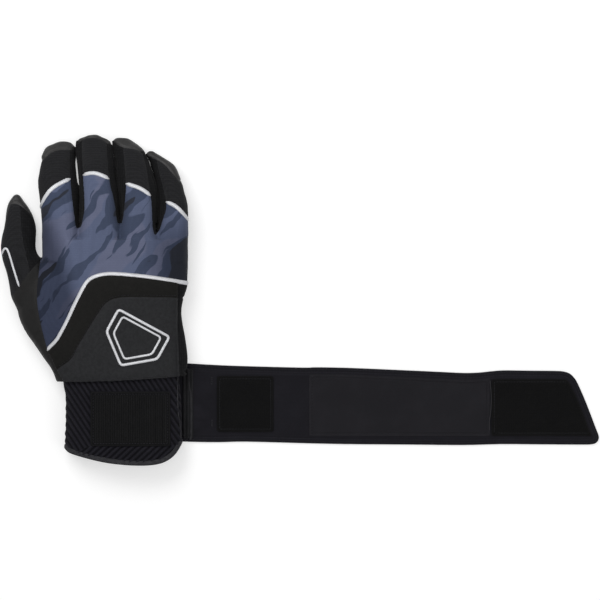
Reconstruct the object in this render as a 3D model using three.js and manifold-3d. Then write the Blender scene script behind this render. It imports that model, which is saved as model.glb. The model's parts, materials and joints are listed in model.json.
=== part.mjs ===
// Batting glove, right hand, seen from its back: it lies palm down with the wrist strap opened out.
// Millimetres, +Z up, fingers along +Y, thumb towards -X, strap along +X.
// The origin is on the flat face of the palm leather, which the glove rests on.
import * as THREE from 'three';
import { mergeVertices } from 'three/addons/utils/BufferGeometryUtils.js';
import Module from 'manifold-3d';

const wasm = await Module();
wasm.setup();

// Driving dimensions
const HAND_WIDTH = 98; // across the knuckles
const GLOVE_LENGTH = 221; // from the hem to the tip of the middle finger
const PALM_DEPTH = 27; // from the rest face to the top of the knuckles
const CUFF_DEPTH = 21; // the flattened cuff from palm side to back
const THUMB_DEPTH = 21;
const FINGER_ARCH = 4; // how far the curled fingers lift off the rest face
const WALL = 1.6; // back fabric with its lining
const LEATHER = 1.4; // palm leather
const TIP_WALL = 2.6; // doubled leather at the finger ends
const SEAM_HEIGHT = 8; // where the palm leather meets the back
const SEAM_GAP = 0.3;
const PIPING_WIDTH = 2;
const PIPING_RISE = 0.8;
const THUMB_PIPING_WIDTH = 1.6;
const GUARD_LEATHER = 1.2;
const CREST_RISE = 0.6;
const CREST_LINE = 1.8;
const CREST_WIDTH = 38;
const HEM_WIDTH = 2.8;
const HEM_RISE = 0.7;
const LOOP_THICKNESS = 1.1;
const STRAP_WIDTH = 50.4;
const STRAP_END = 39.5; // from the strap's last fold to the far corner of its end
const STRAP_THICKNESS = 2.2;
const PATCH_THICKNESS = 0.9; // hook patches and the inlaid panel
const ROOT_REACH = 9; // how far the strap's sewn root runs in under the side of the cuff
const STRAP_CLEARANCE = 0.9; // between the wrapped strap and what it goes round
const OVERRUN = 12; // how far a cutting solid runs past what it cuts

// Outlines as shares of HAND_WIDTH and GLOVE_LENGTH from the origin
const handRowShares = [
  // along, left, right, height
  [-0.455, -0.349, 0.458, 0.0], [-0.364, -0.342, 0.458, 0.0], [-0.249, -0.335, 0.458, 0.0],
  [-0.194, -0.338, 0.458, 0.0], [-0.158, -0.369, 0.458, 0.04], [-0.121, -0.424, 0.46, 0.12],
  [-0.085, -0.479, 0.466, 0.24], [-0.049, -0.53, 0.464, 0.36], [-0.012, -0.585, 0.461, 0.48],
  [0.024, -0.629, 0.455, 0.6], [0.061, -0.649, 0.451, 0.7], [0.097, -0.636, 0.465, 0.8],
  [0.133, -0.608, 0.485, 0.88], [0.17, -0.574, 0.489, 0.94], [0.206, -0.54, 0.489, 0.98],
  [0.243, -0.513, 0.489, 1.0], [0.273, -0.499, 0.485, 1.0],
];
const thumbRowShares = [
  [0.0, -0.608, -0.273], [0.055, -0.649, -0.321], [0.097, -0.697, -0.376], [0.136, -0.716, -0.431],
  [0.176, -0.738, -0.472], [0.206, -0.759, -0.492], [0.236, -0.775, -0.537], [0.255, -0.777, -0.552],
  [0.273, -0.774, -0.543], [0.315, -0.755, -0.552], [0.352, -0.743, -0.577], [0.376, -0.736, -0.608],
  [0.394, -0.721, -0.639], [0.407, -0.697, -0.663],
];
const fingers = [
  {
    name: 'index', heightShare: 0.9, hingeShare: 0.337, tipLineShare: 0.54,
    rowShares: [
      [0.206, -0.506, -0.226], [0.273, -0.502, -0.232], [0.312, -0.502, -0.236], [0.337, -0.506, -0.242],
      [0.379, -0.511, -0.241], [0.424, -0.521, -0.243], [0.47, -0.518, -0.252], [0.506, -0.505, -0.261],
      [0.534, -0.496, -0.268], [0.555, -0.451, -0.273], [0.57, -0.39, -0.308],
    ],
    pipingShares: [
      [-0.56, 0.34], [-0.499, 0.384], [-0.458, 0.415], [-0.397, 0.44], [-0.301, 0.461], [-0.22, 0.47],
    ],
    seams: { outer: [[-0.3, 0.62], [-0.301, 0.55], [-0.294, 0.461], [-0.273, 0.367], [-0.253, 0.327]] },
  },
  {
    name: 'middle', heightShare: 1.0, hingeShare: 0.352, tipLineShare: 0.57,
    rowShares: [
      [0.206, -0.253, 0.062], [0.273, -0.25, 0.055], [0.312, -0.243, 0.048], [0.337, -0.231, 0.036],
      [0.379, -0.229, 0.032], [0.424, -0.23, 0.02], [0.47, -0.24, 0.006], [0.506, -0.249, -0.001],
      [0.54, -0.257, -0.016], [0.564, -0.262, -0.032], [0.582, -0.226, -0.068], [0.591, -0.185, -0.116],
    ],
    pipingShares: [
      [-0.3, 0.458], [-0.219, 0.474], [-0.157, 0.482], [-0.096, 0.476], [-0.034, 0.458], [0.06, 0.425],
    ],
    seams: {
      inner: [[-0.215, 0.62], [-0.222, 0.558], [-0.211, 0.467], [-0.2, 0.373], [-0.215, 0.327]],
      outer: [[-0.055, 0.62], [-0.048, 0.546], [-0.027, 0.452], [0.0, 0.397], [0.025, 0.352], [0.032, 0.33]],
    },
  },
  {
    name: 'ring', heightShare: 0.97, hingeShare: 0.352, tipLineShare: 0.548,
    rowShares: [
      [0.206, 0.021, 0.328], [0.273, 0.027, 0.318], [0.312, 0.036, 0.29], [0.337, 0.047, 0.289],
      [0.379, 0.044, 0.294], [0.424, 0.032, 0.286], [0.47, 0.018, 0.259], [0.506, 0.011, 0.233],
      [0.54, -0.004, 0.2], [0.558, -0.014, 0.164], [0.57, -0.016, 0.126], [0.582, 0.007, 0.089],
    ],
    pipingShares: [[-0.03, 0.462], [0.082, 0.443], [0.171, 0.43], [0.253, 0.405], [0.35, 0.365]],
    seams: {
      inner: [[0.055, 0.62], [0.062, 0.546], [0.082, 0.44], [0.075, 0.385], [0.06, 0.352], [0.05, 0.32]],
      outer: [[0.15, 0.62], [0.219, 0.5], [0.253, 0.406], [0.26, 0.367], [0.27, 0.3]],
    },
  },
  {
    name: 'little', heightShare: 0.85, hingeShare: 0.315, tipLineShare: 0.505,
    rowShares: [
      [0.206, 0.239, 0.489], [0.258, 0.253, 0.489], [0.294, 0.286, 0.492], [0.315, 0.299, 0.492],
      [0.349, 0.304, 0.493], [0.379, 0.306, 0.491], [0.424, 0.298, 0.466], [0.461, 0.278, 0.438],
      [0.491, 0.257, 0.41], [0.515, 0.239, 0.355], [0.534, 0.217, 0.287], [0.543, 0.229, 0.253],
    ],
    pipingShares: [[0.26, 0.4], [0.356, 0.384], [0.417, 0.371], [0.492, 0.335], [0.56, 0.295]],
    seams: { inner: [[0.25, 0.62], [0.294, 0.5], [0.356, 0.385], [0.338, 0.336], [0.3, 0.3]] },
  },
];
const thumbSeamShares = [
  [-0.53, 0.26], [-0.523, 0.182], [-0.526, 0.13], [-0.513, 0.052], [-0.458, -0.058], [-0.417, -0.118],
  [-0.39, -0.18],
];
const guardPipingShares = [
  [-0.452, -0.052], [-0.403, -0.03], [-0.376, -0.012], [-0.324, 0.032], [-0.205, 0.142], [-0.168, 0.159],
  [-0.103, 0.17], [-0.01, 0.172], [0.171, 0.165], [0.326, 0.156], [0.6, 0.137],
];
const guardInnerShares = [
  [-0.47, -0.125], [-0.376, -0.109], [-0.298, -0.088], [-0.246, -0.049], [-0.123, 0.039], [-0.055, 0.086],
  [0.051, 0.101], [0.6, 0.101],
];
const cuffSeamShares = [[-0.6, -0.16], [-0.394, -0.156], [0.0, -0.152], [0.424, -0.139], [0.6, -0.133]];
const sideSeamShares = [[0.426, 0.12], [0.424, 0.05], [0.426, -0.03], [0.43, -0.11]];
const gussetEndShares = [[0.36, -0.11], [0.6, -0.11]];
const hemShares = [
  [-0.45, -0.348], [-0.337, -0.364], [-0.287, -0.379], [-0.089, -0.401], [0.068, -0.409], [0.217, -0.409],
  [0.321, -0.4], [0.39, -0.382], [0.438, -0.355], [0.52, -0.27],
];
const thumbCutShares = [[-0.704, 0.097], [-0.499, 0.218]];
const thumbNotchShares = [[-0.51, 0.236], [-0.528, 0.262], [-0.534, 0.44], [-0.86, 0.44], [-0.86, 0.005]];
const thumbBackSeamShares = [[-0.67, 0.45], [-0.643, 0.37], [-0.625, 0.288], [-0.577, 0.191], [-0.54, 0.12]];
const thumbPipingShares = [[-0.79, 0.228], [-0.772, 0.238], [-0.752, 0.242], [-0.733, 0.236], [-0.66, 0.138]];
const thumbHingeHeightShare = 0.9;
const thumbTipLineShare = 0.372;
const webShares = [
  {
    name: 'index_middle_web',
    outline: [[-0.27, 0.36], [-0.25, 0.322], [-0.236, 0.304], [-0.221, 0.322], [-0.205, 0.36]],
  },
  {
    name: 'middle_ring_web',
    outline: [[0.012, 0.37], [0.03, 0.33], [0.042, 0.312], [0.054, 0.33], [0.072, 0.37]],
  },
  {
    name: 'ring_little_web',
    outline: [[0.262, 0.36], [0.268, 0.306], [0.288, 0.283], [0.304, 0.3], [0.32, 0.325], [0.3, 0.36]],
  },
];
const loopPatchShares = [[-0.157, -0.185], [0.383, -0.185], [0.383, -0.349], [-0.157, -0.349]];
const crestCentreShares = [0.147, -0.027];
const crestOutlineShares = [[-0.5, 0.32], [-0.5, -0.12], [0, -0.52], [0.5, -0.12], [0.5, 0.32]];
const crestTurn = -0.5;

// The strap's outline as shares of its length from its seam and of STRAP_WIDTH from its middle
const strapSeamShare = 0.475; // of HAND_WIDTH
const strapMiddleShare = -0.2215; // of GLOVE_LENGTH
const strapOutlineShares = [
  [0, 0.55], [0.13, 0.54], [0.4, 0.51], [0.61, 0.46], [0.69, 0.445], [0.77, 0.485], [0.905, 0.48],
  [0.925, 0.45], [1, -0.35], [0.992, -0.45], [0.97, -0.485], [0.83, -0.5], [0.67, -0.51], [0.4, -0.49],
  [0, -0.465],
];
// Patches on the strap: from and to along it, low and high across it
const nearHookShares = [0.0794, 0.2155, -0.355, 0.405];
const inlayShares = [0.3, 0.735, -0.39, 0.38];
const endHookShares = [0.7385, 0.972, -0.4, 0.38];
const strapTabShares = [0.004, 0.03, -0.44, 0.43];

// Section of a hollow tube of fabric: flat below, crowned above
const CROWN_STEPS = 8;
const LOWER_STEPS = 3;
const crownPowerShare = 0.74;
const sideHeightShare = 0.36;
const lowerRoundShare = 0.16;
const narrowestShare = 0.2;

// Colours
const FABRIC_BLUE = 0x4a5470;
const BLACK_KNIT = 0x1d1e21;
const BLACK_LEATHER = 0x242426;
const GUARD_BLACK = 0x1b1b1d;
const EMBLEM_GREY = 0x2b2b2d;
const SILVER = 0xd4d5d9;
const CUFF_BLACK = 0x1c1c22;
const HOOK_BLACK = 0x121212;
const FOAM_GREY = 0x6a6a70;

const glove = new THREE.Group();

// Shares of the hand's size become a point in the top view
function place([across, along]) {
  return new THREE.Vector2(across * HAND_WIDTH, along * GLOVE_LENGTH);
}

function solidFrom(geometry) {
  const bare = geometry.index ? geometry.clone() : geometry;
  bare.deleteAttribute('normal');
  bare.deleteAttribute('uv');
  const merged = mergeVertices(bare);
  const solid = new wasm.Manifold(new wasm.Mesh({
    numProp: 3,
    vertProperties: new Float32Array(merged.attributes.position.array),
    triVerts: new Uint32Array(merged.index.array),
  }));
  return solid;
}

function addPiece(name, solid, color, roughness = 0.85) {
  const mesh = solid.getMesh();
  const geometry = new THREE.BufferGeometry();
  geometry.setAttribute('position', new THREE.BufferAttribute(mesh.vertProperties, 3));
  geometry.setIndex(new THREE.BufferAttribute(mesh.triVerts, 1));
  geometry.computeVertexNormals();
  const piece = new THREE.Mesh(geometry, new THREE.MeshStandardMaterial({ color, roughness, metalness: 0 }));
  piece.name = name;
  glove.add(piece);
}

// A closed skin over rings of equally many points, with a fan at each end
function loft(rings) {
  const count = rings[0].length;
  const positions = rings.flat().flatMap((p) => [p.x, p.y, p.z]);
  const index = [];
  for (let r = 0; r + 1 < rings.length; r++) {
    for (let k = 0; k < count; k++) {
      const a = r * count + k;
      const b = r * count + (k + 1) % count;
      index.push(a, a + count, b, b, a + count, b + count);
    }
  }
  const last = (rings.length - 1) * count;
  for (let k = 1; k + 1 < count; k++) {
    index.push(0, k, k + 1);
    index.push(last, last + k + 1, last + k);
  }
  const geometry = new THREE.BufferGeometry();
  geometry.setAttribute('position', new THREE.BufferAttribute(new Float32Array(positions), 3));
  geometry.setIndex(index);
  return solidFrom(geometry);
}

// One ring of the section in the plane across the hand at y
function sectionRing(y, left, right, bottom, top) {
  const middle = (left + right) / 2;
  const half = (right - left) / 2;
  const side = bottom + (top - bottom) * sideHeightShare;
  const round = Math.min(half, (right - left) * lowerRoundShare);
  const ring = [];
  for (let k = 0; k <= CROWN_STEPS; k++) {
    const angle = Math.PI * k / CROWN_STEPS;
    const across = Math.sign(Math.cos(angle)) * Math.abs(Math.cos(angle)) ** crownPowerShare;
    const up = Math.abs(Math.sin(angle)) ** crownPowerShare;
    ring.push(new THREE.Vector3(middle + half * across, y, side + (top - side) * up));
  }
  for (let k = 1; k <= LOWER_STEPS; k++) {
    const angle = Math.PI / 2 * k / LOWER_STEPS;
    const x = left + round * (1 - Math.cos(angle));
    ring.push(new THREE.Vector3(x, y, side - (side - bottom) * Math.sin(angle)));
  }
  for (let k = LOWER_STEPS; k >= 1; k--) {
    const angle = Math.PI / 2 * k / LOWER_STEPS;
    const x = right - round * (1 - Math.cos(angle));
    ring.push(new THREE.Vector3(x, y, side - (side - bottom) * Math.sin(angle)));
  }
  return ring;
}

// A tube of the glove, grown by outset, or shrunk by walls where it is the hollow inside
function tube(rows, outset, under = outset, end = 0) {
  const last = rows.length - 1;
  return loft(rows.map(({ y, left, right, bottom, top }, i) => {
    const slack = Math.max((right - left) * narrowestShare, right - left + outset + outset);
    const middle = (left + right) / 2;
    const rise = Math.max((top - bottom) * narrowestShare, top - bottom + outset + under);
    const along = i === last ? y + end : y;
    return sectionRing(along, middle - slack / 2, middle + slack / 2, bottom - under, bottom - under + rise);
  }));
}

const handRows = handRowShares.map(([along, left, right, height]) => ({
  y: along * GLOVE_LENGTH,
  left: left * HAND_WIDTH,
  right: right * HAND_WIDTH,
  bottom: 0,
  top: CUFF_DEPTH + (PALM_DEPTH - CUFF_DEPTH) * height,
}));

const tipDropShare = 0.66;
const tipDropPower = 2.4;

// A digit keeps its height to its hinge and then curls down to its tip
function digitRows(rowShares, hinge, depth, arch) {
  const tip = rowShares[rowShares.length - 1][0] * GLOVE_LENGTH;
  return rowShares.map(([along, left, right]) => {
    const y = along * GLOVE_LENGTH;
    const reach = Math.max(0, (y - hinge) / (tip - hinge));
    return {
      y,
      left: left * HAND_WIDTH,
      right: right * HAND_WIDTH,
      bottom: arch * Math.sin(Math.PI * reach),
      top: depth * (1 - tipDropShare * reach ** tipDropPower),
    };
  });
}

// A flat outline in the top view becomes an upright solid
function prism(points, low = -OVERRUN, high = PALM_DEPTH + OVERRUN) {
  const shape = new THREE.Shape(points);
  const geometry = new THREE.ExtrudeGeometry(shape, { depth: high - low, bevelEnabled: false });
  geometry.translate(0, 0, low);
  return solidFrom(geometry);
}

// A band of the given width along a line in the top view
function band(line, width) {
  const sides = [[], []];
  line.forEach((point, i) => {
    const before = line[Math.max(0, i - 1)];
    const after = line[Math.min(line.length - 1, i + 1)];
    const across = after.clone().sub(before).normalize();
    across.set(-across.y, across.x).multiplyScalar(width / 2);
    sides[0].push(point.clone().add(across));
    sides[1].unshift(point.clone().sub(across));
  });
  return [...sides[0], ...sides[1]];
}

// A closed outline moved outwards by a distance
function grown(points, distance) {
  const turn = THREE.ShapeUtils.isClockWise(points) ? -distance : distance;
  return points.map((point, i) => {
    const before = points[(i + points.length - 1) % points.length];
    const after = points[(i + 1) % points.length];
    const first = point.clone().sub(before).normalize();
    const second = after.clone().sub(point).normalize();
    const out = new THREE.Vector2(first.y + second.y, -first.x - second.x).normalize();
    const spread = out.x * first.y - out.y * first.x;
    return point.clone().add(out.multiplyScalar(turn / spread));
  });
}

function seamCut(line, width = SEAM_GAP) {
  return prism(band(line, width));
}

// The side of the glove on one side of a line, closed far outside by a corner
function sideOf(line, corner) {
  return prism([...line, ...corner]);
}

function boxBetween(low, high) {
  const size = high.clone().sub(low);
  const geometry = new THREE.BoxGeometry(size.x, size.y, size.z);
  geometry.translate(low.x + size.x / 2, low.y + size.y / 2, low.z + size.z / 2);
  return solidFrom(geometry);
}

const farLeft = -HAND_WIDTH - OVERRUN;
const farRight = HAND_WIDTH + OVERRUN;
const farUp = GLOVE_LENGTH + OVERRUN;
const floorCut = -OVERRUN;
const ceiling = PALM_DEPTH + OVERRUN;
const lowerLeft = new THREE.Vector2(farLeft, -farUp);
const lowerRight = new THREE.Vector2(farRight, -farUp);

function slab(yLow, yHigh, zLow, zHigh) {
  return boxBetween(new THREE.Vector3(farLeft, yLow, zLow), new THREE.Vector3(farRight, yHigh, zHigh));
}

const abovePalm = slab(-farUp, farUp, SEAM_HEIGHT + SEAM_GAP / 2, ceiling);
const belowBack = slab(-farUp, farUp, floorCut, SEAM_HEIGHT - SEAM_GAP / 2);

// Lines of the seams in the top view
const thumbSeam = thumbSeamShares.map(place);
const guardPipingLine = guardPipingShares.map(place);
const guardInner = guardInnerShares.map(place);
const cuffSeam = cuffSeamShares.map(place);
const sideSeam = sideSeamShares.map(place);
const gussetEnd = gussetEndShares.map(place);
const hemLine = hemShares.map(place);
const hemEnd = hemLine[hemLine.length - 1].clone().setX(farRight);
const hem = [hemLine[0].clone().setX(farLeft), ...hemLine, hemEnd];

// Whole digits and their hollows
const thumbHinge = (thumbCutShares[0][1] + thumbCutShares[1][1]) / 2 * GLOVE_LENGTH;
const thumbRows = digitRows(thumbRowShares, thumbHinge, THUMB_DEPTH * thumbHingeHeightShare, 0);
fingers.forEach((finger) => {
  finger.hinge = finger.hingeShare * GLOVE_LENGTH;
  const depth = PALM_DEPTH * finger.heightShare;
  finger.rows = digitRows(finger.rowShares, finger.hinge, depth, FINGER_ARCH);
  finger.outer = tube(finger.rows, 0);
  finger.inner = tube(finger.rows, -WALL, -LEATHER, -TIP_WALL);
});
const thumbOuter = tube(thumbRows, 0);
const thumbInner = tube(thumbRows, -WALL, -LEATHER, -TIP_WALL);
const handInner = tube(handRows, -WALL, -LEATHER);

const thumbCut = thumbCutShares.map(place);
const thumbRegion = [...thumbCut, ...thumbNotchShares.map(place)];
const thumbSide = prism(thumbRegion);
const thumbKerf = prism(grown(thumbRegion, SEAM_GAP));

let hollow = handInner.add(thumbInner);
fingers.forEach((finger) => {
  hollow = hollow.add(finger.inner);
});

// The hand without its moving digits, grown by outset
function handForm(outset) {
  let form = tube(handRows, outset).add(tube(thumbRows, outset));
  fingers.forEach((finger) => {
    const stub = slab(-farUp, finger.hinge - SEAM_GAP / 2, floorCut, ceiling);
    form = form.add(tube(finger.rows, outset).intersect(stub));
  });
  return form.subtract(thumbKerf);
}

const handOuter = handForm(0);
const handShell = handOuter.subtract(hollow);
const aboveHem = sideOf(hem, [new THREE.Vector2(farRight, farUp), new THREE.Vector2(farLeft, farUp)]);
const bindingZone = prism(band(hem, HEM_WIDTH + HEM_WIDTH));
const aboveBinding = aboveHem.subtract(prism(band(hem, HEM_WIDTH + HEM_WIDTH + SEAM_GAP + SEAM_GAP)));
const belowCuffSeam = sideOf(cuffSeam, [lowerRight, lowerLeft]);
const cuffCut = seamCut(cuffSeam);

// Palm side
function addPalm() {
  const palmHalf = handShell.intersect(belowBack).subtract(cuffCut);
  addPiece('palm_leather', palmHalf.subtract(belowCuffSeam), BLACK_LEATHER, 0.6);
  const cuffHalf = palmHalf.intersect(belowCuffSeam).intersect(aboveBinding);
  addPiece('cuff_palm_side', cuffHalf, CUFF_BLACK);
}

// Back of the hand
const backHalf = handShell.intersect(abovePalm).subtract(cuffCut);
const backHand = backHalf.subtract(belowCuffSeam);
const leftOfThumbSeam = sideOf(thumbSeam, [lowerLeft, new THREE.Vector2(farLeft, farUp)]);
const belowPiping = sideOf(
  [new THREE.Vector2(farLeft, guardPipingLine[0].y), ...guardPipingLine],
  [lowerRight, lowerLeft],
);
const belowInner = sideOf(
  [new THREE.Vector2(farLeft, guardInner[0].y), ...guardInner],
  [lowerRight, lowerLeft],
);
const rightOfSideSeam = sideOf(
  [sideSeam[0].clone().setY(farUp), ...sideSeam, gussetEnd[0].clone().setX(sideSeam[3].x)],
  [gussetEnd[1], new THREE.Vector2(farRight, farUp)],
);

function addBack() {
  const kerfs = [
    seamCut(thumbSeam), seamCut(guardPipingLine, PIPING_WIDTH + SEAM_GAP + SEAM_GAP),
  ];
  let cut = backHand;
  kerfs.forEach((kerf) => {
    cut = cut.subtract(kerf);
  });
  addPiece('thumb_side_panel', cut.intersect(leftOfThumbSeam), BLACK_KNIT);
  let camo = cut.subtract(leftOfThumbSeam).subtract(belowPiping);
  webShares.forEach(({ name, outline }) => {
    const line = outline.map(place);
    addPiece(name, camo.intersect(prism(line)), BLACK_KNIT);
    camo = camo.subtract(prism(grown(line, SEAM_GAP)));
  });
  addPiece('back_panel', camo, FABRIC_BLUE);
  const guardRegion = cut.subtract(leftOfThumbSeam).intersect(belowPiping);
  const gussetRegion = guardRegion.intersect(rightOfSideSeam);
  addPiece('guard_foam', guardRegion.subtract(rightOfSideSeam).subtract(seamCut(sideSeam)), FOAM_GREY);
  return gussetRegion;
}

function addGuard() {
  const lower = handForm(SEAM_GAP);
  const upper = handForm(SEAM_GAP + GUARD_LEATHER);
  const skin = upper.subtract(lower).intersect(abovePalm).subtract(belowCuffSeam).subtract(cuffCut)
    .subtract(leftOfThumbSeam).subtract(seamCut(thumbSeam)).intersect(belowPiping)
    .subtract(seamCut(guardPipingLine, PIPING_WIDTH + SEAM_GAP + SEAM_GAP))
    .subtract(rightOfSideSeam).subtract(seamCut(sideSeam)).subtract(seamCut(guardInner));
  addPiece('guard_band', skin.subtract(belowInner), GUARD_BLACK);
  addPiece('emblem_panel', skin.intersect(belowInner), EMBLEM_GREY, 0.6);
  const piping = handForm(PIPING_RISE + GUARD_LEATHER).subtract(hollow).intersect(abovePalm)
    .intersect(seamCut(guardPipingLine, PIPING_WIDTH)).subtract(leftOfThumbSeam).subtract(seamCut(thumbSeam));
  addPiece('guard_piping', piping, SILVER, 0.5);
  const centre = place(crestCentreShares);
  const crestPoint = ([across, along], inset) => {
    const point = new THREE.Vector2(across, along).multiplyScalar(CREST_WIDTH - inset);
    return point.rotateAround(new THREE.Vector2(), crestTurn).add(centre);
  };
  const ring = prism(crestOutlineShares.map((share) => crestPoint(share, 0)))
    .subtract(prism(crestOutlineShares.map((share) => crestPoint(share, CREST_LINE + CREST_LINE))));
  const crestLow = SEAM_GAP + GUARD_LEATHER + SEAM_GAP;
  const crestSkin = handForm(crestLow + CREST_RISE).subtract(handForm(crestLow));
  addPiece('crest', crestSkin.intersect(ring).intersect(abovePalm), SILVER, 0.6);
}

// Cuff
function addCuff() {
  const cuff = backHalf.intersect(belowCuffSeam).intersect(aboveBinding);
  addPiece('cuff_back', cuff, CUFF_BLACK);
  const binding = handForm(HEM_RISE).subtract(hollow).intersect(aboveHem).intersect(bindingZone);
  addPiece('hem_binding', binding.intersect(slab(-farUp, farUp, 0, ceiling)), BLACK_KNIT);
  const patch = handForm(SEAM_GAP + LOOP_THICKNESS).subtract(handForm(SEAM_GAP)).intersect(abovePalm)
    .intersect(prism(loopPatchShares.map(place)));
  addPiece('loop_patch', patch, HOOK_BLACK, 0.95);
}

// Fingers
function addFinger(finger) {
  const beyond = slab(finger.hinge + SEAM_GAP / 2, farUp, floorCut, ceiling);
  const shell = finger.outer.subtract(finger.inner).intersect(beyond);
  const tipLine = finger.tipLineShare * GLOVE_LENGTH;
  const backZone = slab(finger.hinge, tipLine, SEAM_HEIGHT, ceiling);
  const backCut = slab(finger.hinge, tipLine - SEAM_GAP, SEAM_HEIGHT + SEAM_GAP, ceiling);
  addPiece(`${finger.name}_finger_front`, shell.subtract(backZone), BLACK_LEATHER, 0.6);
  let back = shell.intersect(backCut);
  const sideCuts = [];
  Object.entries(finger.seams).forEach(([side, shares]) => {
    const line = shares.map(place);
    const edge = side === 'inner' ? farLeft : farRight;
    const end = new THREE.Vector2(edge, line[line.length - 1].y);
    const region = sideOf(line, [end, new THREE.Vector2(edge, line[0].y)]);
    const kerf = seamCut(line);
    addPiece(`${finger.name}_${side}_side`, back.intersect(region).subtract(kerf), BLACK_KNIT);
    back = back.subtract(region).subtract(kerf);
    sideCuts.push(region.add(kerf));
  });
  const line = finger.pipingShares.map(place);
  const farEnd = new THREE.Vector2(line[line.length - 1].x, farUp);
  const above = sideOf(line, [farEnd, new THREE.Vector2(line[0].x, farUp)]);
  const wide = seamCut(line, PIPING_WIDTH + SEAM_GAP + SEAM_GAP);
  addPiece(`${finger.name}_back_panel`, back.subtract(above).subtract(wide), FABRIC_BLUE);
  addPiece(`${finger.name}_finger_back`, back.intersect(above).subtract(wide), BLACK_KNIT);
  let piping = tube(finger.rows, PIPING_RISE).subtract(finger.inner).intersect(backCut).intersect(beyond)
    .intersect(seamCut(line, PIPING_WIDTH));
  sideCuts.forEach((side) => {
    piping = piping.subtract(side);
  });
  addPiece(`${finger.name}_knuckle_piping`, piping, SILVER, 0.5);
}

// Thumb
function addThumb() {
  const kerf = prism(band(thumbCut, SEAM_GAP));
  const shell = thumbOuter.subtract(thumbInner).intersect(thumbSide).subtract(kerf);
  const tipLine = thumbTipLineShare * GLOVE_LENGTH;
  const backZone = slab(-farUp, tipLine, SEAM_HEIGHT, ceiling);
  const backCut = slab(-farUp, tipLine - SEAM_GAP, SEAM_HEIGHT + SEAM_GAP, ceiling);
  addPiece('thumb_front', shell.subtract(backZone), BLACK_LEATHER, 0.6);
  const line = thumbBackSeamShares.map(place);
  const farEnd = new THREE.Vector2(farRight, line[line.length - 1].y);
  const right = sideOf(line, [farEnd, new THREE.Vector2(farRight, line[0].y)]);
  const pipingLine = thumbPipingShares.map(place);
  const back = shell.intersect(backCut).subtract(seamCut(line));
  addPiece('thumb_inner_side', back.intersect(right), BLACK_KNIT);
  const piping = tube(thumbRows, PIPING_RISE).subtract(tube(thumbRows, SEAM_GAP)).intersect(backCut)
    .intersect(thumbSide).subtract(kerf).intersect(seamCut(pipingLine, THUMB_PIPING_WIDTH));
  addPiece('thumb_back', back.subtract(right), BLACK_KNIT);
  addPiece('thumb_piping', piping, SILVER, 0.5);
}

// Elastic gusset on the outer side of the heel of the hand
function addGusset(region) {
  addPiece('side_gusset', region, BLACK_KNIT);
}

// Strap, cut at its fold lines
const strapSeam = strapSeamShare * HAND_WIDTH;
const strapMiddle = strapMiddleShare * GLOVE_LENGTH;
const strapTop = STRAP_THICKNESS + SEAM_GAP + PATCH_THICKNESS;
const besideStrap = handRowShares.slice(2, 7);
const cuffLeft = Math.min(...besideStrap.map(([, left]) => left * HAND_WIDTH));
const riseFold = CUFF_DEPTH + SEAM_GAP + LOOP_THICKNESS + STRAP_CLEARANCE + STRAP_CLEARANCE - strapTop;
const crossFold = riseFold + strapSeam - cuffLeft + STRAP_CLEARANCE;
const dropFold = crossFold + strapTop + riseFold + STRAP_CLEARANCE;
const returnFold = dropFold + (crossFold - riseFold) + strapTop + STRAP_CLEARANCE;
const stretches = ['rise', 'cross', 'drop', 'under', 'end'];
const strapLength = returnFold + STRAP_END; // from the seam line
const folds = [0, riseFold, crossFold, dropFold, returnFold, strapLength + OVERRUN];

function strapPoint([along, across]) {
  return new THREE.Vector2(strapSeam + along * strapLength, strapMiddle + across * STRAP_WIDTH);
}

function strapSection(i, low, high) {
  const from = strapSeam + folds[i] + SEAM_GAP / 2;
  const to = strapSeam + folds[i + 1] - SEAM_GAP / 2;
  return boxBetween(new THREE.Vector3(from, -farUp, low), new THREE.Vector3(to, farUp, high));
}

function patchOutline([from, to, low, high]) {
  return [[from, low], [to, low], [to, high], [from, high]].map(strapPoint);
}

// A layer of the strap, cut into one piece for each stretch between two folds
function addLayer(name, layer, low, high, color) {
  stretches.forEach((stretch, i) => {
    const piece = layer.intersect(strapSection(i, low - SEAM_GAP, high + SEAM_GAP));
    if (!piece.isEmpty()) addPiece(`${name}_${stretch}`, piece, color);
  });
}

function addStrap() {
  const outline = strapOutlineShares.map(strapPoint);
  const patchLow = STRAP_THICKNESS + SEAM_GAP;
  addLayer('strap', prism(outline, 0, STRAP_THICKNESS), 0, STRAP_THICKNESS, CUFF_BLACK);
  const patch = (shares) => prism(patchOutline(shares), patchLow, strapTop);
  addLayer('strap_panel', patch(inlayShares), patchLow, strapTop, CUFF_BLACK);
  addPiece('near_hook_patch', patch(nearHookShares), HOOK_BLACK, 0.95);
  const insideEnd = outline.map((point) => point.clone().setX(point.x - HEM_WIDTH));
  const endPatch = patch(endHookShares).intersect(prism(insideEnd, patchLow, strapTop));
  addLayer('end_hook_patch', endPatch, patchLow, strapTop, HOOK_BLACK);
  addPiece('strap_tab', patch(strapTabShares), BLACK_KNIT);
  const low = strapMiddle + strapOutlineShares[strapOutlineShares.length - 1][1] * STRAP_WIDTH;
  const high = strapMiddle + strapOutlineShares[0][1] * STRAP_WIDTH;
  const root = boxBetween(
    new THREE.Vector3(strapSeam - ROOT_REACH, low, 0),
    new THREE.Vector3(strapSeam - SEAM_GAP / 2, high, strapTop),
  );
  const roundBinding = handForm(HEM_RISE + SEAM_GAP).subtract(aboveBinding);
  addPiece('strap_root', root.subtract(handForm(SEAM_GAP)).subtract(roundBinding), BLACK_KNIT);
}

addPalm();
const gussetRegion = addBack();
addGuard();
addGusset(gussetRegion);
addCuff();
fingers.forEach(addFinger);
addThumb();
addStrap();

export default glove;
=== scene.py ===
"""Batting glove, right hand, seen from its back, with the wrist strap opened out.

Everything is in metres: fingers along +Y, thumb towards -X, strap along +X, +Z up from the rest face.
"""
import heapq
import json
import math

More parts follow.
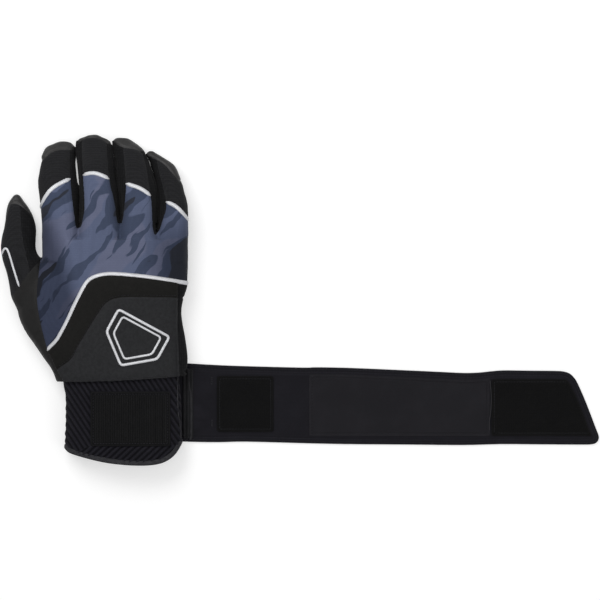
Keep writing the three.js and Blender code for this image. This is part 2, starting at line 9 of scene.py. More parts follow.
import bpy
import numpy as np
from bpy.props import FloatProperty, FloatVectorProperty, PointerProperty
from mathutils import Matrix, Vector
from mathutils.bvhtree import BVHTree


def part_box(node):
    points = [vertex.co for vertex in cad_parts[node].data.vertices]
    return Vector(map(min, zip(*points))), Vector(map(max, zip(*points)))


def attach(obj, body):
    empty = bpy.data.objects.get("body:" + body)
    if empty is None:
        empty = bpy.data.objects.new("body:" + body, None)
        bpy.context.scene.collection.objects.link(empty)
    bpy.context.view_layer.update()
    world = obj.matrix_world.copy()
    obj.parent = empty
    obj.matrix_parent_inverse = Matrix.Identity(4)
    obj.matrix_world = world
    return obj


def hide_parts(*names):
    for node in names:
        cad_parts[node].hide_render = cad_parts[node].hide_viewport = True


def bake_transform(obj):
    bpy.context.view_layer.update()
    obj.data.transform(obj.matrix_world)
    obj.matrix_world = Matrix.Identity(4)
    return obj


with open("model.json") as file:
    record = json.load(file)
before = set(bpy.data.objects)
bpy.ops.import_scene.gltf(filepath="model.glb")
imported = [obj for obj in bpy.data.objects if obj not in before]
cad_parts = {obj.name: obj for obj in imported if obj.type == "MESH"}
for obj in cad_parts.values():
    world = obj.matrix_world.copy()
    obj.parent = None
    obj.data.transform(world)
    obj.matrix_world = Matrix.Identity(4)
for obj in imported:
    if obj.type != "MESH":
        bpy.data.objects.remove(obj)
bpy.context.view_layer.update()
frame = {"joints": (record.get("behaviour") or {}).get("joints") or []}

bl_info = {
    "name": "Batting Glove",
    "version": (1, 0, 0),
    "blender": (4, 5, 0),
    "location": "View3D > Sidebar > Glove",
    "description": "Builds a batting glove with its padded guard, cuff and wrist strap",
    "category": "Add Mesh",
}

MM = 0.001
# A height well over the glove
ABOVE = 0.2

# What one operator makes and a later one uses
MATERIALS = {}
GROUPS = {}
SKIN = {}
CUFF = {}

# Outlines as shares of the hand's width and the glove's length
HAND_ROWS = (
    # along, left, right, height
    (-0.2, -0.374, 0.446, 0.02), (-0.175, -0.389, 0.452, 0.04), (-0.158, -0.396, 0.456, 0.06),
    (-0.121, -0.426, 0.46, 0.14), (-0.085, -0.482, 0.466, 0.25), (-0.049, -0.538, 0.466, 0.36),
    (-0.012, -0.593, 0.464, 0.48), (0.024, -0.637, 0.458, 0.6), (0.061, -0.656, 0.454, 0.7),
    (0.097, -0.635, 0.469, 0.8), (0.133, -0.592, 0.494, 0.88), (0.17, -0.541, 0.5, 0.94),
    (0.206, -0.501, 0.501, 0.98), (0.243, -0.493, 0.501, 1.0), (0.273, -0.492, 0.497, 1.0),
)
CUFF_ROWS = (
    # along, left, right, height
    (-0.42, -0.346, 0.459, 0.0), (-0.364, -0.339, 0.459, 0.0), (-0.249, -0.332, 0.456, 0.0),
    (-0.194, -0.335, 0.45, 0.01), (-0.158, -0.35, 0.442, 0.03), (-0.11, -0.365, 0.435, 0.06),
)
THUMB_ROWS = (
    (0.0, -0.616, -0.273), (0.055, -0.656, -0.321), (0.097, -0.701, -0.376), (0.136, -0.718, -0.431),
    (0.176, -0.738, -0.452), (0.206, -0.759, -0.482), (0.228, -0.77, -0.524), (0.25, -0.777, -0.538),
    (0.273, -0.772, -0.537), (0.315, -0.752, -0.536), (0.352, -0.74, -0.564), (0.376, -0.731, -0.597),
    (0.393, -0.716, -0.627), (0.4065, -0.69, -0.648),
)
FINGERS = {
    "index": {
        "height": 0.9, "hinge": 0.337, "root": 0.3145, "rows": (
            (0.206, -0.492, -0.226), (0.273, -0.492, -0.232), (0.312, -0.493, -0.238),
            (0.337, -0.496, -0.244), (0.379, -0.504, -0.241), (0.424, -0.516, -0.242),
            (0.45, -0.516, -0.253), (0.47, -0.514, -0.258), (0.506, -0.499, -0.267),
            (0.534, -0.489, -0.27), (0.555, -0.458, -0.274), (0.5665, -0.405, -0.298)),
        "piping": ((-0.5645, 0.3251), (-0.5195, 0.3551), (-0.4935, 0.3791), (-0.4525, 0.4101),
                   (-0.3915, 0.4351), (-0.2955, 0.4561), (-0.2145, 0.4671)),
        "tip": ((-0.56, 0.49), (-0.51, 0.509), (-0.477, 0.52), (-0.428, 0.538), (-0.366, 0.546),
                (-0.285, 0.544), (-0.22, 0.535)),
    },
    "middle": {
        "height": 1.0, "hinge": 0.352, "root": 0.3303, "rows": (
            (0.206, -0.253, 0.062), (0.273, -0.25, 0.055), (0.312, -0.243, 0.048), (0.337, -0.233, 0.036),
            (0.379, -0.232, 0.032), (0.424, -0.231, 0.02), (0.47, -0.239, 0.006), (0.506, -0.248, -0.001),
            (0.54, -0.26, -0.014), (0.564, -0.262, -0.025), (0.58, -0.236, -0.058),
            (0.5865, -0.195, -0.104)),
        "piping": ((-0.2932, 0.4496), (-0.2052, 0.4676), (-0.1372, 0.4731), (-0.0822, 0.4666),
                   (-0.0272, 0.4551), (0.0368, 0.4356)),
        "tip": ((-0.31, 0.545), (-0.271, 0.562), (-0.213, 0.579), (-0.16, 0.5825), (-0.089, 0.578),
                (-0.03, 0.56), (0.02, 0.535)),
    },
    "ring": {
        "height": 0.97, "hinge": 0.352, "root": 0.3303, "rows": (
            (0.206, 0.021, 0.328), (0.273, 0.027, 0.318), (0.312, 0.036, 0.292), (0.337, 0.047, 0.291),
            (0.379, 0.044, 0.296), (0.424, 0.032, 0.288), (0.47, 0.018, 0.261), (0.506, 0.011, 0.235),
            (0.54, -0.004, 0.202), (0.558, -0.014, 0.166), (0.57, -0.018, 0.13), (0.5785, 0.004, 0.096)),
        "piping": ((-0.0249, 0.4597), (0.0871, 0.4407), (0.1761, 0.4277), (0.2581, 0.4027),
                   (0.3551, 0.3577)),
        "tip": ((-0.07, 0.575), (0.0, 0.565), (0.06, 0.553), (0.15, 0.546), (0.21, 0.532), (0.27, 0.505)),
    },
    "little": {
        "height": 0.85, "hinge": 0.315, "root": 0.2964, "rows": (
            (0.206, 0.239, 0.501), (0.258, 0.253, 0.501), (0.294, 0.286, 0.503), (0.315, 0.295, 0.503),
            (0.349, 0.301, 0.503), (0.379, 0.306, 0.498), (0.424, 0.298, 0.474), (0.461, 0.278, 0.445),
            (0.491, 0.257, 0.415), (0.515, 0.239, 0.355), (0.53, 0.214, 0.305), (0.538, 0.224, 0.272)),
        "piping": ((0.2696, 0.4006), (0.3656, 0.3846), (0.4266, 0.3716), (0.5016, 0.3356),
                   (0.5696, 0.2906)),
        "tip": ((0.17, 0.53), (0.235, 0.521), (0.29, 0.516), (0.345, 0.5), (0.39, 0.478), (0.45, 0.45)),
    },
}
# Between two fingers: down the near seam, round the root of the gap and up the far seam
GAP_SEAMS = {
    "index_middle": (
        (-0.3, 0.62), (-0.301, 0.55), (-0.294, 0.461), (-0.273, 0.37), (-0.26, 0.335), (-0.252, 0.3165),
        (-0.237, 0.3095), (-0.222, 0.3165), (-0.213, 0.335), (-0.2, 0.375), (-0.211, 0.467),
        (-0.222, 0.558), (-0.215, 0.62)),
    "middle_ring": (
        (-0.055, 0.62), (-0.048, 0.546), (-0.027, 0.452), (0.001, 0.4), (0.018, 0.358), (0.028, 0.333),
        (0.04, 0.3235), (0.053, 0.333), (0.063, 0.355), (0.074, 0.39), (0.082, 0.44), (0.062, 0.546),
        (0.055, 0.62)),
    "ring_little": (
        (0.15, 0.62), (0.219, 0.5), (0.253, 0.406), (0.262, 0.367), (0.266, 0.322), (0.273, 0.2985),
        (0.285, 0.288), (0.301, 0.298), (0.335, 0.338), (0.354, 0.385), (0.294, 0.5), (0.25, 0.62)),
}
# Middle of each gap, from the tips to below its root
GAP_LINES = {
    "index_middle": ((-0.266, 0.64), (-0.263, 0.54), (-0.246, 0.47), (-0.234, 0.406), (-0.237, 0.36),
                     (-0.2405, 0.31), (-0.24, 0.25)),
    "middle_ring": ((-0.03, 0.64), (-0.0103, 0.54), (0.004, 0.51), (0.01, 0.479), (0.022, 0.44),
                    (0.036, 0.394), (0.041, 0.337), (0.041, 0.25)),
    "ring_little": ((0.19, 0.6), (0.207, 0.537), (0.232, 0.515), (0.26, 0.476), (0.287, 0.44),
                    (0.301, 0.394), (0.297, 0.349), (0.287, 0.294), (0.282, 0.22)),
}
THUMB_SEAM = (
    (-0.52, 0.32), (-0.507, 0.26), (-0.5, 0.215), (-0.512, 0.17), (-0.524, 0.125), (-0.512, 0.052),
    (-0.456, -0.058), (-0.422, -0.091), (-0.4, -0.115), (-0.368, -0.139), (-0.346, -0.158), (-0.33, -0.19),
)
GUARD_PIPING = (
    (-0.594, -0.131), (-0.514, -0.094), (-0.446, -0.058), (-0.3955, -0.036), (-0.368, -0.018),
    (-0.314, 0.0265), (-0.252, 0.085), (-0.189, 0.1375), (-0.152, 0.1545), (-0.087, 0.1655), (0.0, 0.1687),
    (0.171, 0.1627), (0.326, 0.1537), (0.6, 0.1347),
)
GUARD_INNER = (
    (-0.6, -0.147), (-0.41, -0.1235), (-0.366, -0.1115), (-0.287, -0.0845), (-0.235, -0.0425),
    (-0.112, 0.0455), (-0.045, 0.0835), (0.056, 0.099), (0.3, 0.0995), (0.6, 0.0965),
)
CUFF_SEAM = ((-0.6, -0.16), (-0.394, -0.156), (0.0, -0.152), (0.424, -0.139), (0.447, -0.122),
             (0.48, -0.112), (0.6, -0.105))
SIDE_SEAM = ((0.432, 0.14), (0.428, 0.05), (0.428, -0.03), (0.43, -0.17))
HEM = (
    (-0.48, -0.336), (-0.4, -0.3445), (-0.337, -0.3575), (-0.287, -0.3725), (-0.089, -0.3955),
    (0.068, -0.405), (0.217, -0.407), (0.321, -0.4005), (0.39, -0.3835), (0.428, -0.3625), (0.47, -0.332),
    (0.52, -0.292),
)
THUMB_CUT = ((-0.82, 0.0285), (-0.704, 0.097), (-0.56, 0.182), (-0.51, 0.206), (-0.498, 0.222),
             (-0.509, 0.25), (-0.511, 0.3), (-0.53, 0.44))
THUMB_BACK_SEAM = ((-0.67, 0.45), (-0.643, 0.37), (-0.625, 0.288), (-0.577, 0.191), (-0.54, 0.12))
THUMB_TIP = ((-0.83, 0.35), (-0.77, 0.371), (-0.715, 0.3815), (-0.66, 0.381), (-0.62, 0.37), (-0.56, 0.35))
THUMB_PIPING = (
    (-0.76, 0.228), (-0.756, 0.237), (-0.747, 0.245), (-0.7355, 0.2477), (-0.725, 0.2437), (-0.715, 0.2337),
    (-0.704, 0.2186), (-0.674, 0.1746), (-0.6435, 0.131),
)
LOOP_PATCH = ((-0.157, -0.349), (0.383, -0.185))
ORNAMENT_CENTRE = (0.147, -0.027)
ORNAMENT_SHAPE = ((-0.5, 0.32), (-0.5, -0.12), (0, -0.52), (0.5, -0.12), (0.5, 0.32))
ORNAMENT_TURN = -0.5
# How far up the glove the thumb bends, the webs and the touching walls start, and the thumb's seam ends
THUMB_HINGE = 0.1575
WEB_START = 0.26
WALL_START = 0.28
THUMB_SEAM_END = 0.31
# Form of the hollow sections and of the fingertips
THUMB_HEIGHT = 0.9
CROWN_POWER = 0.74
SIDE_HEIGHT = 0.36
LOWER_ROUND = 0.16
TIP_DROP = 0.66
TIP_DROP_POWER = 2.4
# Rings along a finger and points round each, and the first, last and number of its tip's closing angles
DIGIT_ROWS = 56
DIGIT_POINTS = 56
TIP_ANGLES = (0.15, 1.54, 10)
# Which point of a gap's seam comes just before its root, and how far below it the gap is cut
ROOT_POINT = 5
ROOT_MARGIN = 0.02


# Sizes and colours that a user would change

def length(name, description, default):
    """A size that a user can change."""
    return FloatProperty(
        name=name, description=description, default=default, subtype="DISTANCE", unit="LENGTH")


def colour(name, description, default):
    """A colour that a user can change."""
    return FloatVectorProperty(
        name=name, description=description, default=default, subtype="COLOR", size=3, min=0, max=1)


class GloveSizes(bpy.types.PropertyGroup):
    """Sizes of the glove, in metres"""
    hand_width: length("Hand width", "Across the knuckles", 98 * MM)
    glove_length: length("Glove length", "From the hem to the tip of the middle finger", 221 * MM)
    palm_depth: length("Palm depth", "From the rest face to the top of the knuckles", 27 * MM)
    cuff_depth: length("Cuff depth", "The flattened cuff, palm side to back", 21 * MM)
    thumb_depth: length("Thumb depth", "Depth that the thumb's height is a share of", 21 * MM)
    finger_arch: length("Finger arch", "How far the curled fingers lift off the rest face", 4 * MM)
    tip_round: length("Tip rounding", "Length of the rounded end of a finger", 0.9 * MM)
    seam_height: length("Side seam height", "Where the palm leather meets the back", 8 * MM)
    wall: length("Wall", "Thickness of the fabric with its lining", 1.2 * MM)
    skin_detail: length("Skin detail", "Distance between points of the fabric's mesh", 0.72 * MM)
    seam_depth: length("Seam depth", "How deep a sewn seam pulls in", 0.55 * MM)
    seam_width: length("Seam width", "Half the width of the dip at a seam", 0.75 * MM)
    guard_rise: length("Guard height", "How far the padded guard stands over the back", 1.5 * MM)
    piping_width: length("Piping width", "Width of the silver piping", 2.1 * MM)
    piping_height: length("Piping height", "Height of the silver piping", 1.6 * MM)
    gusset_bulge: length("Gusset bulge", "How far the elastic gusset stands out beside the guard", 3.6 * MM)
    cuff_tuck: length("Cuff tuck", "How far the cuff reaches under the edge of the hand", 4 * MM)
    rib_pitch: length("Rib pitch", "From one rib of the cuff to the next", 3.1 * MM)
    rib_depth: length("Rib depth", "How far a rib of the cuff stands out", 0.5 * MM)
    hem_width: length("Hem width", "Width of the tape along the cuff's edge", 3.4 * MM)
    hem_thickness: length("Hem thickness", "Thickness of the cuff's edge in its tape", 2.4 * MM)
    patch_thickness: length("Patch thickness", "Thickness of the hook and loop patches", 1.0 * MM)
    strap_width: length("Strap width", "Width of the strap, border to border", 50.4 * MM)
    strap_thickness: length("Strap thickness", "Thickness of the strap", 2.2 * MM)
    fold_length: length("Fold length", "Length of strap that bends at a fold", 10 * MM)
    ornament_width: length("Ornament width", "Width of the embroidered outline", 40 * MM)
    embroidery_width: length("Embroidery width", "Width of the embroidered line", 1.8 * MM)
    hook_pitch: length("Hook pitch", "Between two rows of hooks", 1.25 * MM)
    touch_reach: length("Touch reach", "How near its neighbour a finger has a flat wall", 1.1 * MM)
    bend_length: length("Bend length", "Length of fabric that bends at a finger's root", 24 * MM)


class GloveColours(bpy.types.PropertyGroup):
    """Colours of the glove's materials"""
    camo_light: colour("Camouflage, light", "Lightest blue grey of the print", (0.09, 0.109, 0.178))
    camo_mid: colour("Camouflage, middle", "Middle blue of the print", (0.046, 0.059, 0.1))
    camo_dark: colour("Camouflage, dark", "Charcoal strokes of the print", (0.024, 0.027, 0.038))
    knit: colour("Black knit", "Knit of the finger backs and sides", (0.0125, 0.0126, 0.0138))
    leather: colour("Leather", "Palm and tip leather", (0.016, 0.0157, 0.0158))
    guard: colour("Guard", "Outer band of the guard", (0.0085, 0.0083, 0.0078))
    emblem: colour("Emblem panel", "Inner panel of the guard", (0.0178, 0.0182, 0.0196))
    silver: colour("Silver", "Piping and embroidery", (0.62, 0.625, 0.65))
    cuff: colour("Cuff", "Ribbed elastic of the cuff", (0.0112, 0.0108, 0.0145))
    strap: colour("Strap", "Neoprene of the strap", (0.0098, 0.0094, 0.0124))
    panel: colour("Strap panel", "Inlaid panel of the strap", (0.0125, 0.012, 0.0146))
    hook: colour("Hook", "Hook and loop patches", (0.0038, 0.0038, 0.004))
    binding: colour("Binding", "Tape along the hem and the cord of the tab", (0.026, 0.026, 0.029))
    thread: colour("Thread", "Black sewing thread", (0.018, 0.018, 0.022))


def get_sizes():
    """The glove's sizes, as the scene keeps them."""
    return bpy.context.scene.glove_sizes


# Curves and fields

def smooth_line(points, steps):
    """A smooth line through the points, with the given steps between two of them."""
    points = np.asarray(points, float)
    ends = np.vstack([2 * points[0] - points[1], points, 2 * points[-1] - points[-2]])
    t = np.linspace(0, 1, steps, endpoint=False)[:, None]
    parts = []
    for a, b, c, d in zip(ends, ends[1:], ends[2:], ends[3:]):
        parts.append(b + t / 2 * (c - a + t * (2 * a - 5 * b + 4 * c - d + t * (3 * b - a - 3 * c + d))))
    return np.vstack([*parts, points[-1:]])


def run_lengths(line):
    """How far along a line each of its points is."""
    return np.concatenate([[0], np.cumsum(np.linalg.norm(np.diff(line, axis=0), axis=1))])


def at_lengths(line, length, at):
    """Points of a line at the given distances along it."""
    return np.stack([np.interp(at, length, values) for values in line.T], axis=1)


def resample(line, step):
    """Points along a line, an even step apart."""
    length = run_lengths(line)
    count = max(2, int(round(length[-1] / step)) + 1)
    return at_lengths(line, length, np.linspace(0, length[-1], count))


def unit(vectors):
    """The vectors at a length of 1."""
    return vectors / np.maximum(np.linalg.norm(vectors, axis=1), 1e-12)[:, None]


def between(x, xs, ys):
    """A smooth curve through the points xs, ys, read at x."""
    xs, ys = np.asarray(xs, float), np.asarray(ys, float)
    slope = np.gradient(ys, xs)
    i = np.clip(np.searchsorted(xs, x) - 1, 0, len(xs) - 2)
    step = xs[i + 1] - xs[i]
    t = np.clip((x - xs[i]) / step, 0, 1)
    rise = (1 - t) ** 2 * ((1 + 2 * t) * ys[i] + t * step * slope[i])
    return rise + t ** 2 * ((3 - 2 * t) * ys[i + 1] - (1 - t) * step * slope[i + 1])


def side(points, line):
    """Distance in the top view from a line: positive on the left of its direction."""
    flat = points[:, :2]
    nearest = np.full(len(flat), 1e9)
    sign = np.ones(len(flat))
    for start, end in zip(line[:-1, :2], line[1:, :2]):
        along = end - start
        offset = flat - start
        t = np.clip(offset @ along / (along @ along), 0, 1)
        away = np.hypot(offset[:, 0] - t * along[0], offset[:, 1] - t * along[1])
        closer = away < nearest
        nearest[closer] = away[closer]
        turn = along[0] * offset[:, 1] - along[1] * offset[:, 0]
        sign[closer] = np.where(turn[closer] < 0, -1, 1)
    return nearest * sign


def rise(value, low, high):
    """A smooth step from 0 at low to 1 at high."""
    t = np.clip((value - low) / (high - low), 0, 1)
    return t * t * (3 - 2 * t)


def ripple(points, size, seed, stretch):
    """Smooth random relief between about -1 and 1, with features of the given size."""
    random = np.random.default_rng(seed)
    waves = 28
    direction = unit(random.normal(size=(waves, 3)))
    wave = direction * 2 * np.pi / (size * random.uniform(0.8, 1.6, (waves, 1)))
    phase = random.uniform(0, 2 * np.pi, waves)
    total = np.zeros(len(points))
    for k in range(waves):
        total += np.cos(points @ (wave[k] / np.asarray(stretch)) + phase[k])
    return total * math.sqrt(2 / waves) / 2


# Meshes

def new_object(name, co, tri, fabric=None, smooth=True, normals=None):
    """A mesh object at the origin from arrays of points and triangles."""
    mesh = bpy.data.meshes.new(name)
    mesh.vertices.add(len(co))
    mesh.vertices.foreach_set("co", np.ascontiguousarray(co, np.float32).ravel())
    mesh.loops.add(tri.size)
    mesh.loops.foreach_set("vertex_index", np.ascontiguousarray(tri, np.int32).ravel())
    mesh.polygons.add(len(tri))
    mesh.polygons.foreach_set("loop_start", np.arange(0, tri.size, 3, dtype=np.int32))
    mesh.polygons.foreach_set("use_smooth", np.full(len(tri), smooth))
    mesh.update(calc_edges=True)
    mesh.validate()
    if normals is not None:
        mesh.normals_split_custom_set(normals.reshape(-1, 3))
    if fabric is not None:
        mesh.materials.append(MATERIALS[fabric])
    return placed(name, mesh)


def placed(name, data):
    """An object at the origin that shows some data, in the scene."""
    thing = bpy.data.objects.new(name, data)
    bpy.context.scene.collection.objects.link(thing)
    return thing


def ride_on_hand(thing, slot, *nodes):
    """Rides a piece on the hand, in place of the nodes of the source that it shows."""
    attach(thing, "hand")
    if nodes:
        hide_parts(*nodes)


def keep_value(thing, name, values):
    """Stores a value of the outer points of a shell on both its walls."""
    attribute = thing.data.attributes.new(name, "FLOAT", "POINT")
    attribute.data.foreach_set("value", np.tile(values, 2).astype(np.float32))


def arrays(thing):
    """The evaluated mesh of an object as arrays of points and triangles."""
    evaluated = thing.evaluated_get(bpy.context.evaluated_depsgraph_get())
    mesh = evaluated.to_mesh()
    mesh.calc_loop_triangles()
    co = np.empty(len(mesh.vertices) * 3)
    mesh.vertices.foreach_get("co", co)
    tri = np.empty(len(mesh.loop_triangles) * 3, np.int32)
    mesh.loop_triangles.foreach_get("vertices", tri)
    evaluated.to_mesh_clear()
    return co.reshape(-1, 3), tri.reshape(-1, 3).astype(np.int64)


def remove(thing):
    """Deletes an object and its mesh."""
    mesh = thing.data
    bpy.data.objects.remove(thing)
    bpy.data.meshes.remove(mesh)


def edges_of(tri):
    """The two ends of each side of the triangles."""
    return tri[:, [0, 1, 1, 2, 2, 0]].reshape(-1, 2)


def face_vectors(co, tri):
    """A vector square to each triangle, twice its area long."""
    a, b, c = co[tri[:, 0]], co[tri[:, 1]], co[tri[:, 2]]
    return np.cross(b - a, c - a)


def vertex_normals(co, tri):
    """The direction that the surface faces at each point."""
    face = face_vectors(co, tri)
    normal = np.zeros_like(co)
    for axis in range(3):
        for corner in range(3):
            normal[:, axis] += np.bincount(tri[:, corner], face[:, axis], len(co))
    return unit(normal)


def smoothed(co, tri, rounds):
    """Points moved halfway towards the middle of their neighbours, some rounds over."""
    a, b = np.unique(np.sort(edges_of(tri), axis=1), axis=0).T
    degree = np.maximum(np.bincount(a, minlength=len(co)) + np.bincount(b, minlength=len(co)), 1)
    for _ in range(rounds):
        middle = np.empty_like(co)
        for axis in range(3):
            total = np.bincount(a, co[b, axis], len(co)) + np.bincount(b, co[a, axis], len(co))
            middle[:, axis] = total / degree
        co = co + 0.5 * (middle - co)
    return co


def grid_faces(rows, columns, closed):
    """Triangles of a grid of rows of points, closed round its columns or not."""
    r = np.arange(rows - 1)[:, None]
    c = np.arange(columns if closed else columns - 1)[None, :]
    a = r * columns + c
    b = r * columns + (c + 1) % columns
    quads = np.stack([a, b, b + columns, a + columns], axis=-1).reshape(-1, 4)
    return np.vstack([quads[:, [0, 1, 2]], quads[:, [0, 2, 3]]])


def with_ends(co, tri, rows, columns):
    """The grid's first and last rows closed by a fan to their middles."""
    first, last = co[:columns].mean(axis=0), co[-columns:].mean(axis=0)
    k = np.arange(columns)
    after = (k + 1) % columns
    low = np.stack([np.full(columns, len(co)), after, k], axis=1)
    base = (rows - 1) * columns
    high = np.stack([np.full(columns, len(co) + 1), base + k, base + after], axis=1)
    return np.vstack([co, first, last]), np.vstack([tri, low, high])


def swept(line, normals, width, height, sides, power=1.0, closed=False):
    """A flattened tube along a line, with its width across the given normals."""
    ahead = np.roll(line, -1, axis=0) if closed else np.vstack([line[1:], line[-1:]])
    behind = np.roll(line, 1, axis=0) if closed else np.vstack([line[:1], line[:-1]])
    along = unit(ahead - behind)
    across = unit(np.cross(along, normals))
    up = np.cross(across, along)
    angle = np.arange(sides) * 2 * np.pi / sides
    x, z = (np.sign(f(angle)) * np.abs(f(angle)) ** power for f in (np.cos, np.sin))
    width, height = (np.broadcast_to(size, len(line))[:, None, None] for size in (width, height))
    ring = line[:, None] + across[:, None] * x[None, :, None] * width / 2
    co = (ring + up[:, None] * z[None, :, None] * height / 2).reshape(-1, 3)
    rows = len(line)
    if closed:
        tri = grid_faces(rows + 1, sides, True) % len(co)
    else:
        co, tri = with_ends(co, grid_faces(rows, sides, True), rows, sides)
    return co, outward(co, tri)


def outward(co, tri):
    """Triangles turned so that a closed shell has a positive volume."""
    a, b, c = co[tri[:, 0]], co[tri[:, 1]], co[tri[:, 2]]
    return tri if np.einsum("ij,ij->", a, np.cross(b, c)) >= 0 else tri[:, ::-1].copy()


def thick(co, tri, normal, wall):
    """A closed shell: the outer triangles, an inner wall and the rim between them."""
    wall = np.broadcast_to(wall, len(co))[:, None]
    return shell(co, co - normal * wall, tri, normal, -normal)


def shell(co, inner, tri, normal, inner_normal):
    """A closed shell between two surfaces with the same triangles, and the normals of its corners."""
    used, index = np.unique(tri, return_inverse=True)
    tri = index.reshape(-1, 3)
    count = len(used)
    edges = edges_of(tri)
    key = np.sort(edges, axis=1)
    _, first, times = np.unique(key[:, 0] * count + key[:, 1], return_index=True, return_counts=True)
    a, b = edges[first[times == 1]].T
    walls = np.vstack([np.stack([b, a, a + count], 1), np.stack([b, a + count, b + count], 1)])
    both = np.vstack([co[used], inner[used]])
    faces = np.vstack([tri, tri[:, ::-1] + count, walls])
    corner = np.vstack([normal[used], inner_normal[used]])[faces]
    corner[-len(walls):] = unit(face_vectors(both, walls))[:, None]
    return both, faces, corner


class Skin:
    """A triangle mesh with named values on its points."""

    def __init__(self, co, tri):
        self.co = co
        self.tri = tri
        self.values = {}

    def cut(self, name, snap, where=None):
        """Splits the triangles that cross a value's zero line, where both ends of an edge are inside."""
        where = np.full(len(self.co), True) if where is None else where
        value = self.values[name]
        value[(np.abs(value) < snap) & where] = 0
        count = len(self.co)
        edges = np.sort(edges_of(self.tri), axis=1)
        pair = edges[:, 0] * count + edges[:, 1]
        unique, first, inverse = np.unique(pair, return_index=True, return_inverse=True)
        a, b = edges[first].T
        crossing = (value[a] * value[b] < 0) & where[a] & where[b]
        a, b = a[crossing], b[crossing]
        t = (value[a] / (value[a] - value[b]))[:, None]
        self.co = np.vstack([self.co, self.co[a] * (1 - t) + self.co[b] * t])
        for key, old in self.values.items():
            new = old[a] * (1 - t[:, 0]) + old[b] * t[:, 0]
            self.values[key] = np.concatenate([old, np.zeros(len(a)) if key == name else new])
        middle = np.full(len(unique), -1)
        middle[crossing] = count + np.arange(len(a))
        self.split(middle[inverse].reshape(-1, 3))

    def split(self, middle):
        """Splits triangles at the new points on their edges."""
        splits = (middle >= 0).sum(axis=1)
        out = [self.tri[splits == 0]]
        for turn in range(3):
            order = [(turn + k) % 3 for k in range(3)]
            tri, mid = self.tri[:, order], middle[:, order]
            chosen = (splits == 1) & (mid[:, 0] >= 0)
            a, b, c = tri[chosen].T
            p = mid[chosen, 0]
            out += [np.stack(corners, 1) for corners in ((a, p, c), (p, b, c))]
            chosen = (splits == 2) & (mid[:, 2] < 0)
            a, b, c = tri[chosen].T
            p, q = mid[chosen, 0], mid[chosen, 1]
            out += [np.stack(corners, 1) for corners in ((p, b, q), (a, p, q), (a, q, c))]
        a, b, c = self.tri[splits == 3].T
        p, q, r = middle[splits == 3].T
        out += [np.stack(corners, 1) for corners in ((a, p, r), (p, b, q), (r, q, c), (p, q, r))]
        self.tri = np.vstack(out)

    def at_faces(self, name):
        """A value in the middle of each triangle."""
        return self.values[name][self.tri].mean(axis=1)


# Shader building blocks

def node(tree, kind, values=(), **settings):
    """Adds a node; values pairs an input's name or number with a number, a colour or an output."""
    made = tree.nodes.new(kind)
    for key, value in settings.items():
        setattr(made, key, value)
    for key, value in dict(values).items():
        if isinstance(value, bpy.types.NodeSocket):
            tree.links.new(value, made.inputs[key])
        else:
            made.inputs[key].default_value = value
    return made


def math_node(tree, operation, a, b, c=0.0, clamp=False):
    """The result of a sum."""
    return node(tree, "ShaderNodeMath", {0: a, 1: b, 2: c}, operation=operation, use_clamp=clamp).outputs[0]


def times(tree, a, b, plus=0.0, clamp=False):
    """A product, plus a third value where there is one."""
    return math_node(tree, "MULTIPLY" if plus == 0 else "MULTIPLY_ADD", a, b, plus, clamp)


def mix(tree, factor, a, b, blend="MIX"):
    """A colour between a and b."""
    pair = {0: factor}
    for key, value in ((6, a), (7, b)):
        pair[key] = value if isinstance(value, bpy.types.NodeSocket) else (*value, 1)
    return node(tree, "ShaderNodeMix", pair, data_type="RGBA", blend_type=blend).outputs[2]


def ramp(tree, value, low, high):
    """0 below low, 1 above high and smooth between them."""
    values = {0: value, 1: low, 2: high}
    return node(tree, "ShaderNodeMapRange", values, interpolation_type="SMOOTHSTEP").outputs[0]


def noise(tree, place, scale, detail, roughness, distortion=0.0):
    """Soft cloudy noise."""
    values = {"Vector": place, "Scale": scale, "Detail": detail, "Roughness": roughness,
              "Distortion": distortion}
    return node(tree, "ShaderNodeTexNoise", values).outputs[0]


def cells(tree, place, scale, randomness, feature="F1"):
    """Distance to the nearest of many scattered points."""
    values = {"Vector": place, "Scale": scale, "Randomness": randomness}
    return node(tree, "ShaderNodeTexVoronoi", values, feature=feature).outputs[0]


def vector_node(tree, operation, values):
    """The result of a sum with vectors."""
    return node(tree, "ShaderNodeVectorMath", values, operation=operation).outputs[0]


def turned(tree, place, angle, scale=(1, 1, 1)):
    """The place turned about Z, and then stretched along the turned axes."""
    place = node(tree, "ShaderNodeMapping", {"Vector": place, "Rotation": (0, 0, angle)}).outputs[0]
    return node(tree, "ShaderNodeMapping", {"Vector": place, "Scale": scale}).outputs[0]


def new_group(name, inputs, outputs, tree_kind="ShaderNodeTree"):
    """An empty node group with its sockets; inputs pair a name with a socket type and a default."""
    tree = bpy.data.node_groups.new(name, tree_kind)
    for socket, (kind, default) in inputs.items():
        made = tree.interface.new_socket(name=socket, in_out="INPUT", socket_type=kind)
        if default is not None:
            made.default_value = default
    for socket, kind in outputs.items():
        tree.interface.new_socket(name=socket, in_out="OUTPUT", socket_type=kind)
    return tree, tree.nodes.new("NodeGroupInput").outputs, tree.nodes.new("NodeGroupOutput").inputs


FLOAT, COLOUR, VECTOR = "NodeSocketFloat", "NodeSocketColor", "NodeSocketVector"
GEOMETRY = "NodeSocketGeometry"


